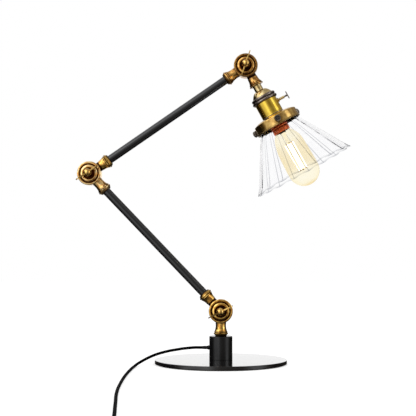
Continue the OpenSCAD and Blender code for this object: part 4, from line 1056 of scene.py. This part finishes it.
def thumbScrew(s):
    # straight knurls round the head, a dished face and a plain thread, with painted shade under the head and
    # in the dish
    radius, start = s["thread"]
    headRadius, low, high = s["head"]
    profile = [(0, start), (radius - 0.4, start), (radius, start + 0.4), (radius, low),
               (headRadius - 0.7, low, 0.8), (headRadius, low + 0.6, 0.2), (headRadius, high - 0.6, 0.2),
               (headRadius - 0.6, high, 0.3), (headRadius - 1.4, high, 0.3),
               (headRadius - 1.8, high - 0.35, 0.9), (0, high - 0.5, 0.6)]
    bm = lathe(profile, s["knurls"] * 4)
    for vert in bm.verts:
        out, angle = sideways(vert)
        if out > (headRadius - 0.1) * mm:
            spread(vert, 1 - s["knurlDepth"] * (0.5 - 0.5 * math.cos(angle * s["knurls"])) / headRadius)
    return bm


makePieces(gallerySettings, headPlace, "head", [
    ("clampBand", clampBand, brownedBronze, "clamp_band", "dark_bronze"),
    ("galleryBell", galleryBell, pressedBrass, "gallery", "polished_brass"),
    ("galleryNut", galleryNut, brownedBronze, "gallery_nut", "dark_bronze"),
])
for i, place in enumerate(thumbPlaces):
    node = "thumb_screw_%d" % (i + 1)
    makePiece("thumbScrew%d" % (i + 1), thumbScrew(thumbSettings), headPlace @ place, blackenedSteel,
              node, node)
print("gallery built")

# Shade: a pressed glass cone with eighteen ribs and a scalloped mouth
shadeSettings = {
    "top": 88.2,
    "neck": 29.5,
    "bead": (1.0, 2.0, 0.4),    # how far it stands out, its height, and the slope under it
    "beadCurl": 0.8,
    "coneTop": 99.2,
    "coneLength": 76,
    "coneRows": 22,
    "spread": 43.7,
    "flare": (1.0, 0.86),       # how far the mouth turns out, and the share of the cone where that starts
    "glass": 2.4,
    "ribs": 18,
    "ribDepth": 2.0,
    "ribSteps": 20,
    "dip": (1.5, 0.9),          # how far the edge draws back between ribs, and the share where that starts
    "rimFade": 0.45,            # how much paler the painted shade line round the mouth is between ribs
}


def glassShade(s):
    beadOut, beadHeight, slope = s["bead"]
    neck, wall, top, curl, coneTop = (s[key] for key in ("neck", "glass", "top", "beadCurl", "coneTop"))
    flare, flareStart = s["flare"]
    dip, dipStart = s["dip"]
    under = top + beadHeight
    outer = arcPoints((neck + beadOut - curl, top + curl), curl, -90, 0, 4)
    outer += [(neck + beadOut, under - 0.2), (neck + 0.3, under + slope), (neck, under + slope + 0.4),
              (neck, coneTop - 1)]
    cone = []
    for i in range(s["coneRows"] + 1):
        share = i / s["coneRows"]
        turnOut = flare * ease((share - flareStart) / (1 - flareStart))
        cone.append((neck + s["spread"] * share + turnOut, coneTop + s["coneLength"] * share))
    inner = [(radius - wall, along) for radius, along in [(neck, top), (neck, coneTop - 1)] + cone]
    bm = lathe(outer + cone + inner[::-1], s["ribs"] * s["ribSteps"], closed=True)
    patinaTintAndShade = bm.verts.layers.float["patinaTintAndShade"]
    for vert in bm.verts:
        share = (vert.co.z / mm - coneTop) / s["coneLength"]
        if share > -0.01:
            out, angle = sideways(vert)
            rib = abs(math.sin(angle * s["ribs"] / 2))      # 0 on a rib, 1 halfway to the next
            outside = out / mm > neck + s["spread"] * share - wall / 2
            rise = s["ribDepth"] * math.sqrt(max(0.0, min(1.0, share))) * (1 - rib)
            spread(vert, 1 + rise * mm / out)
            vert.co.z -= dip * mm * rib * rib * ease((share - dipStart) / (1 - dipStart))
            # painted shade: a grey line along each rib and round the mouth, for the light that the glass
            # bends there
            if outside and rib < 0.01:
                # the painted shade line along each rib
                vert[patinaTintAndShade] = 1.0
            elif share > 0.99:
                vert[patinaTintAndShade] = 1 - s["rimFade"] * rib * rib if outside else 0.0
    return bm


makePiece("glassShade", glassShade(shadeSettings), headPlace, pressedGlass, "head", "glass_shade",
          sharpOver=50, weighted=False)

# Bulb: threaded cap, amber glass, stem, lit strips and the wire stars that hold them
bulbSettings = {
    "cap": (13, 83.8, 109.8),   # radius, start, end
    "capFloor": 2.4,
    "capCollar": 6.5,           # plain part past the thread
    "threadPitch": 3.6,
    "threadDepth": 0.7,
    "threadFade": 1.5,
    "threadRow": 0.3,
    "threadValleyDarkening": 0.7,        # how much darker the thread's valleys are
    "glassStart": 109.8,
    "neck": 12.2,
    "radius": 22.8,
    "length": 86,
    "wall": 0.8,
    "root": 6,
    "step": 0.7,
    "taper": (24, 16),          # length, and number of rows
    "belly": (0.94, 0.967),     # share of the radius at the end of the taper, and past it
    "middle": 45,
    "wash": (0.22, 0.35),       # how much of the deeper tint the glass takes round its middle, and at its tip
    "stemEnd": 127.65,
    "strips": 4,
    "stripRing": 6.5,
    "stripSpan": (129, 171),
    "stripSize": (0.9, 2.3),
    "stripTurn": 20,
}
stripTurns = [bulbSettings["stripTurn"] + 360 * i / bulbSettings["strips"]
              for i in range(bulbSettings["strips"])]


def lampCap(s):
    # the thread is a real helix: each point goes in and out with its height and its place round the cap
    radius, start, end = s["cap"]
    floor, threadEnd, fade = start + s["capFloor"], end - s["capCollar"], s["threadFade"]
    base = floor - 0.4
    neck, inner = s["neck"] + 0.3, s["neck"] - s["step"] + 0.1
    profile = [(0, start), (radius - 4, start), (radius - s["threadDepth"] - 0.6, base - 0.5), (radius, base)]
    rows = int((threadEnd - base) / s["threadRow"])
    profile += [(radius, base + (threadEnd - base) * (i + 1) / rows) for i in range(rows)]
    # a little darker where the cap narrows past the thread
    profile += [(neck + 0.1, threadEnd + 0.9, 0.4), (neck, threadEnd + 1.5, 0.3), (neck, end - 0.3),
                (neck - 0.3, end), (inner, end), (inner, floor), (0, floor)]
    bm = lathe(profile, 96)
    patinaTintAndShade = bm.verts.layers.float["patinaTintAndShade"]
    for vert in bm.verts:
        along = vert.co.z / mm
        out, angle = sideways(vert)
        if base <= along + 1e-4 and along <= threadEnd + 1e-4 and out > (radius - 0.2) * mm:
            wave = 0.5 - 0.5 * math.cos(fullTurn * ((along - base) / s["threadPitch"] - angle / fullTurn))
            valley = 1 - wave * ease((along - base) / fade) * ease((threadEnd - along) / fade)
            spread(vert, 1 - s["threadDepth"] * valley * mm / out)
            # darker in the valleys of the thread
            vert[patinaTintAndShade] = s["threadValleyDarkening"] * valley
    return bm


def bulbHalf(s, wall):
    # the glass's half section from its neck to its tip
    neck, rise, radius, middle = s["neck"] - wall, wall / 2, s["radius"], s["middle"]
    taper, rows = s["taper"]
    belly, pastBelly = s["belly"]
    points = [(neck - s["step"], -s["root"]), (neck - s["step"], rise), (neck - 0.2, 0.6 + rise),
              (neck, 1.2 + rise)]
    for i in range(1, rows + 1):
        share = i / rows
        swell = (radius * belly - s["neck"]) * (1 - (1 - share) ** 2.2)
        points.append((neck + swell, 1 + rise + taper * share))
    points += [(radius * pastBelly - wall, 34), (radius - 0.35 - wall, middle),
               (radius - 0.1 - wall, middle + 9)]
    points += arcPoints((0, s["length"] - radius), radius - wall, 0, 90, 24)[:-1]
    return points + [(0, s["length"] - wall)]


def bulbGlass(s):
    # the amber wash is strongest round the middle and gathers at the tip
    bm = lathe(bulbHalf(s, 0) + bulbHalf(s, s["wall"])[::-1], 96, closed=True)
    patinaTintAndShade = bm.verts.layers.float["patinaTintAndShade"]
    middle, tip = s["wash"]
    for vert in bm.verts:
        share = vert.co.z / mm / s["length"]
        vert[patinaTintAndShade] = (middle * ease((share - 0.1) / 0.25) * ease((0.82 - share) / 0.25)
                      + tip * ease((share - 0.92) / 0.08))
    return moved(bm, shift(0, 0, s["glassStart"]))


def bulbStem(s):
    start, end = s["glassStart"], s["stemEnd"]
    foot = s["neck"] - s["step"] - s["wall"] - 0.1
    profile = [(0, start - 5.5), (foot, start - 5.5), (foot, start - 4.7), (foot - 2.5, start - 3),
               (5.2, start), (4.0, start + 3), (3.1, start + 5.5), (2.6, start + 8), (2.5, start + 12),
               (2.7, end - 2), (2.4, end - 0.6), (1.6, end), (0, end)]
    return lathe(profile, 40)


def litStrips(s):
    thick, wide = s["stripSize"]
    low, high = s["stripSpan"]
    strips = []
    for angle in stripTurns:
        strip = bevelSharp(block(thick, wide, high - low), 0.25, 2, 60)
        strips.append(moved(strip, turned(angle, "Z") @ shift(s["stripRing"], 0, (low + high) / 2)))
    return joinShapes(*strips)


def wireStars(s):
    low, high = s["stripSpan"]
    shapes = []
    for z in (low - 0.35, high + 0.35):
        hub = [(0, z - 1), (1.1, z - 1), (1.4, z - 0.7), (1.4, z + 0.7), (1.1, z + 1), (0, z + 1)]
        shapes.append(lathe(hub, 28))
        for angle in stripTurns:
            shapes.append(moved(rod(0.35, 0.7, s["stripRing"] + 0.45, 14), outward(z, angle)))
    return joinShapes(*shapes)


makePieces(bulbSettings, headPlace, "head", [
    ("lampCap", lampCap, copperPlate, "lamp_cap", "copper_cap"),
    ("bulbGlass", bulbGlass, amberGlass, "bulb_glass", "amber_glass"),
    ("bulbStem", bulbStem, drawnGlass, "bulb_stem", "amber_glass"),
], weighted=False)
makePieces(bulbSettings, headPlace, "head", [
    ("litStrips", litStrips, litPhosphor, "filaments", "filament_glow"),
    ("wireStars", wireStars, wireWithPaintedGlow, "filament_hanger", "plated_steel"),
])
dressNodes(zincPlate, "cap_contact")
print("shade and bulb built")

# Floor, backdrop and light
studioSettings = {
    "floorSize": 8,             # in metres
    "floorColor": "#eeeeee",
    "floorLift": 0.56,          # extra for the camera and through glass, so that the empty floor is white
    "worldLevel": 0.55,         # what lights the object from all round
    "roomLevel": 2.6,           # how bright the room of cards is that the metal sees
    "roomAround": [             # that room by degrees round the lamp: 0 is the camera's side, 90 the right
        (-180, 0.50), (-168, 0.50), (-160, 0.01), (-100, 0.01), (-82, 0.05), (-70, 0.30), (-60, 0.52),
        (-40, 0.50), (-22, 0.70), (-10, 0.30), (0, 0.17), (8, 0.15), (20, 0.14), (38, 0.12), (48, 0.26),
        (58, 0.50), (74, 0.46), (88, 0.12), (105, 0.02), (160, 0.01), (168, 0.50), (180, 0.50),
    ],
    "roomByHeight": [           # how much of it is left, by the sine of the height above level
        (-1.0, 0.15), (-0.5, 0.32), (-0.3, 0.6), (-0.12, 0.9), (0.0, 1.0), (0.12, 1.0), (0.3, 0.6),
        (0.5, 0.35), (0.8, 0.1), (1.0, 0.0),
    ],
    "roomAbove": [              # the card overhead, by the same sine
        (-1.0, 0.0), (0.28, 0.0), (0.42, 0.5), (0.6, 0.75), (0.8, 0.55), (0.92, 0.3), (1.0, 0.16),
    ],
    "aboveAround": [            # and how much of that card there is, by degrees round the lamp
        (-180, 0.4), (-130, 0.7), (-90, 1.0), (-40, 0.9), (-12, 0.4), (12, 0.22), (180, 0.22),
    ],
    "roomShade": ("#fff2dc", 0.3),      # tint of the room between its cards, and the level at which it ends
    "behindGlass": [            # what shows through glass, from the camera's side (-1) to the backdrop (1)
        (-1.0, 0.9), (-0.6, 0.8), (-0.2, 0.6), (0.2, 0.6), (0.55, 1.0), (1.0, 1.0),
    ],
    "lightsAim": (0, 0, 0.22),
    "lights": [                 # name, place in m, width and height in m, watts
        ("left", (-1.2, -1.1, 0.9), (0.7, 1.4), 4),
        ("right", (1.45, -0.65, 0.7), (0.7, 1.2), 2.6),
        ("top", (0.1, -0.2, 1.7), (2.0, 1.6), 4),
    ],
}


def studioFloor(s):
    # a plain floor that keeps the lamp's shadow; mirrors look through it to the room
    bm = bmesh.new()
    bmesh.ops.create_grid(bm, x_segments=1, y_segments=1, size=s["floorSize"] / 2)
    mesh = bpy.data.meshes.new("floor")
    bm.to_mesh(mesh)
    bm.free()
    floor = addObject("floor", mesh)
    material, tree = newMaterial("whiteCardFloor")
    ray = addNode(tree, "ShaderNodeLightPath")
    seen = addNode(tree, "ShaderNodeMath", {"operation": "MAXIMUM"},
                   links={0: ray.outputs["Is Camera Ray"], 1: ray.outputs["Is Transmission Ray"]})
    lift = addNode(tree, "ShaderNodeMath", {"operation": "MULTIPLY"}, {1: s["floorLift"]},
                   {0: seen.outputs["Value"]})
    diffuse = addNode(tree, "ShaderNodeBsdfDiffuse", sockets={"Color": hexColor(s["floorColor"])})
    glow = addNode(tree, "ShaderNodeEmission", links={"Strength": lift.outputs["Value"]})
    card = addNode(tree, "ShaderNodeAddShader",
                   links={0: diffuse.outputs["BSDF"], 1: glow.outputs["Emission"]})
    passing = addNode(tree, "ShaderNodeBsdfTransparent")
    both = addNode(tree, "ShaderNodeMixShader", links={
        0: ray.outputs["Is Glossy Ray"], 1: card.outputs["Shader"], 2: passing.outputs["BSDF"]})
    addNode(tree, "ShaderNodeOutputMaterial", links={"Surface": both.outputs["Shader"]})
    mesh.materials.append(material)


def rampAlong(tree, value, low, high, stops):
    # a ramp over value, its stops given as (value, grey)
    span = addNode(tree, "ShaderNodeMapRange", sockets={"From Min": low, "From Max": high},
                   links={"Value": value})
    ramp = addNode(tree, "ShaderNodeValToRGB", links={"Fac": span.outputs["Result"]})
    return setStops(ramp, [((at - low) / (high - low), grey) for at, grey in stops])


def studioWorld(s):
    # white where the camera looks, dim walls at the sides for glass, a ring of light and dark cards for metal
    world = bpy.data.worlds.new("studio")
    scene.world = world
    world.use_nodes = True
    tree = world.node_tree
    tree.nodes.clear()
    ray = addNode(tree, "ShaderNodeLightPath")
    coords = addNode(tree, "ShaderNodeTexCoord")
    axes = addNode(tree, "ShaderNodeSeparateXYZ", links={"Vector": coords.outputs["Generated"]})
    ahead = addNode(tree, "ShaderNodeMath", {"operation": "MULTIPLY"}, {1: -1.0}, {0: axes.outputs["Y"]})
    around = addNode(tree, "ShaderNodeMath", {"operation": "ARCTAN2"},
                     links={0: axes.outputs["X"], 1: ahead.outputs["Value"]})
    angle = addNode(tree, "ShaderNodeMath", {"operation": "DEGREES"}, links={0: around.outputs["Value"]})
    degrees, height = angle.outputs["Value"], axes.outputs["Z"]
    multiply = {"data_type": "RGBA", "blend_type": "MULTIPLY"}
    layers = {}
    for i, (around, byHeight) in enumerate((("roomAround", "roomByHeight"), ("aboveAround", "roomAbove"))):
        cards = rampAlong(tree, degrees, -180, 180, s[around])
        fade = rampAlong(tree, height, -1, 1, s[byHeight])
        layers[6 + i] = addNode(tree, "ShaderNodeMix", multiply, {0: 1.0}, {6: cards, 7: fade}).outputs[2]
    added = addNode(tree, "ShaderNodeMix", {"data_type": "RGBA", "blend_type": "ADD"}, {0: 1.0}, layers)
    room = added.outputs[2]
    tint, tintEnd = s["roomShade"]
    shade = setStops(addNode(tree, "ShaderNodeValToRGB", links={"Fac": room}),
                     [(0.0, tint), (tintEnd, "#ffffff")])
    tinted = addNode(tree, "ShaderNodeMix", multiply, {0: 1.0}, {6: room, 7: shade})
    through = rampAlong(tree, axes.outputs["Y"], -1, 1, s["behindGlass"])
    plain = addNode(tree, "ShaderNodeBackground",
                    sockets={"Color": (1, 1, 1, 1), "Strength": s["worldLevel"]})
    gloss = addNode(tree, "ShaderNodeBackground", sockets={"Strength": s["roomLevel"]},
                    links={"Color": tinted.outputs[2]})
    glass = addNode(tree, "ShaderNodeBackground", sockets={"Strength": 1.0}, links={"Color": through})
    white = addNode(tree, "ShaderNodeBackground", sockets={"Color": (1, 1, 1, 1), "Strength": 1.0})
    shader = plain.outputs["Background"]
    for kind, seen in (("Is Glossy Ray", gloss), ("Is Transmission Ray", glass), ("Is Camera Ray", white)):
        mix = addNode(tree, "ShaderNodeMixShader",
                      links={0: ray.outputs[kind], 1: shader, 2: seen.outputs["Background"]})
        shader = mix.outputs["Shader"]
    addNode(tree, "ShaderNodeOutputWorld", links={"Surface": shader})


def studioLights(s):
    for name, place, size, watts in s["lights"]:
        data = bpy.data.lights.new(name, "AREA")
        data.shape = "RECTANGLE"
        data.size, data.size_y = size
        data.energy = watts
        light = addObject(name, data)
        light.location = place
        light.rotation_euler = (Vector(s["lightsAim"]) - Vector(place)).to_track_quat("-Z", "Y").to_euler()


studioFloor(studioSettings)
studioWorld(studioSettings)
studioLights(studioSettings)
print("studio set")
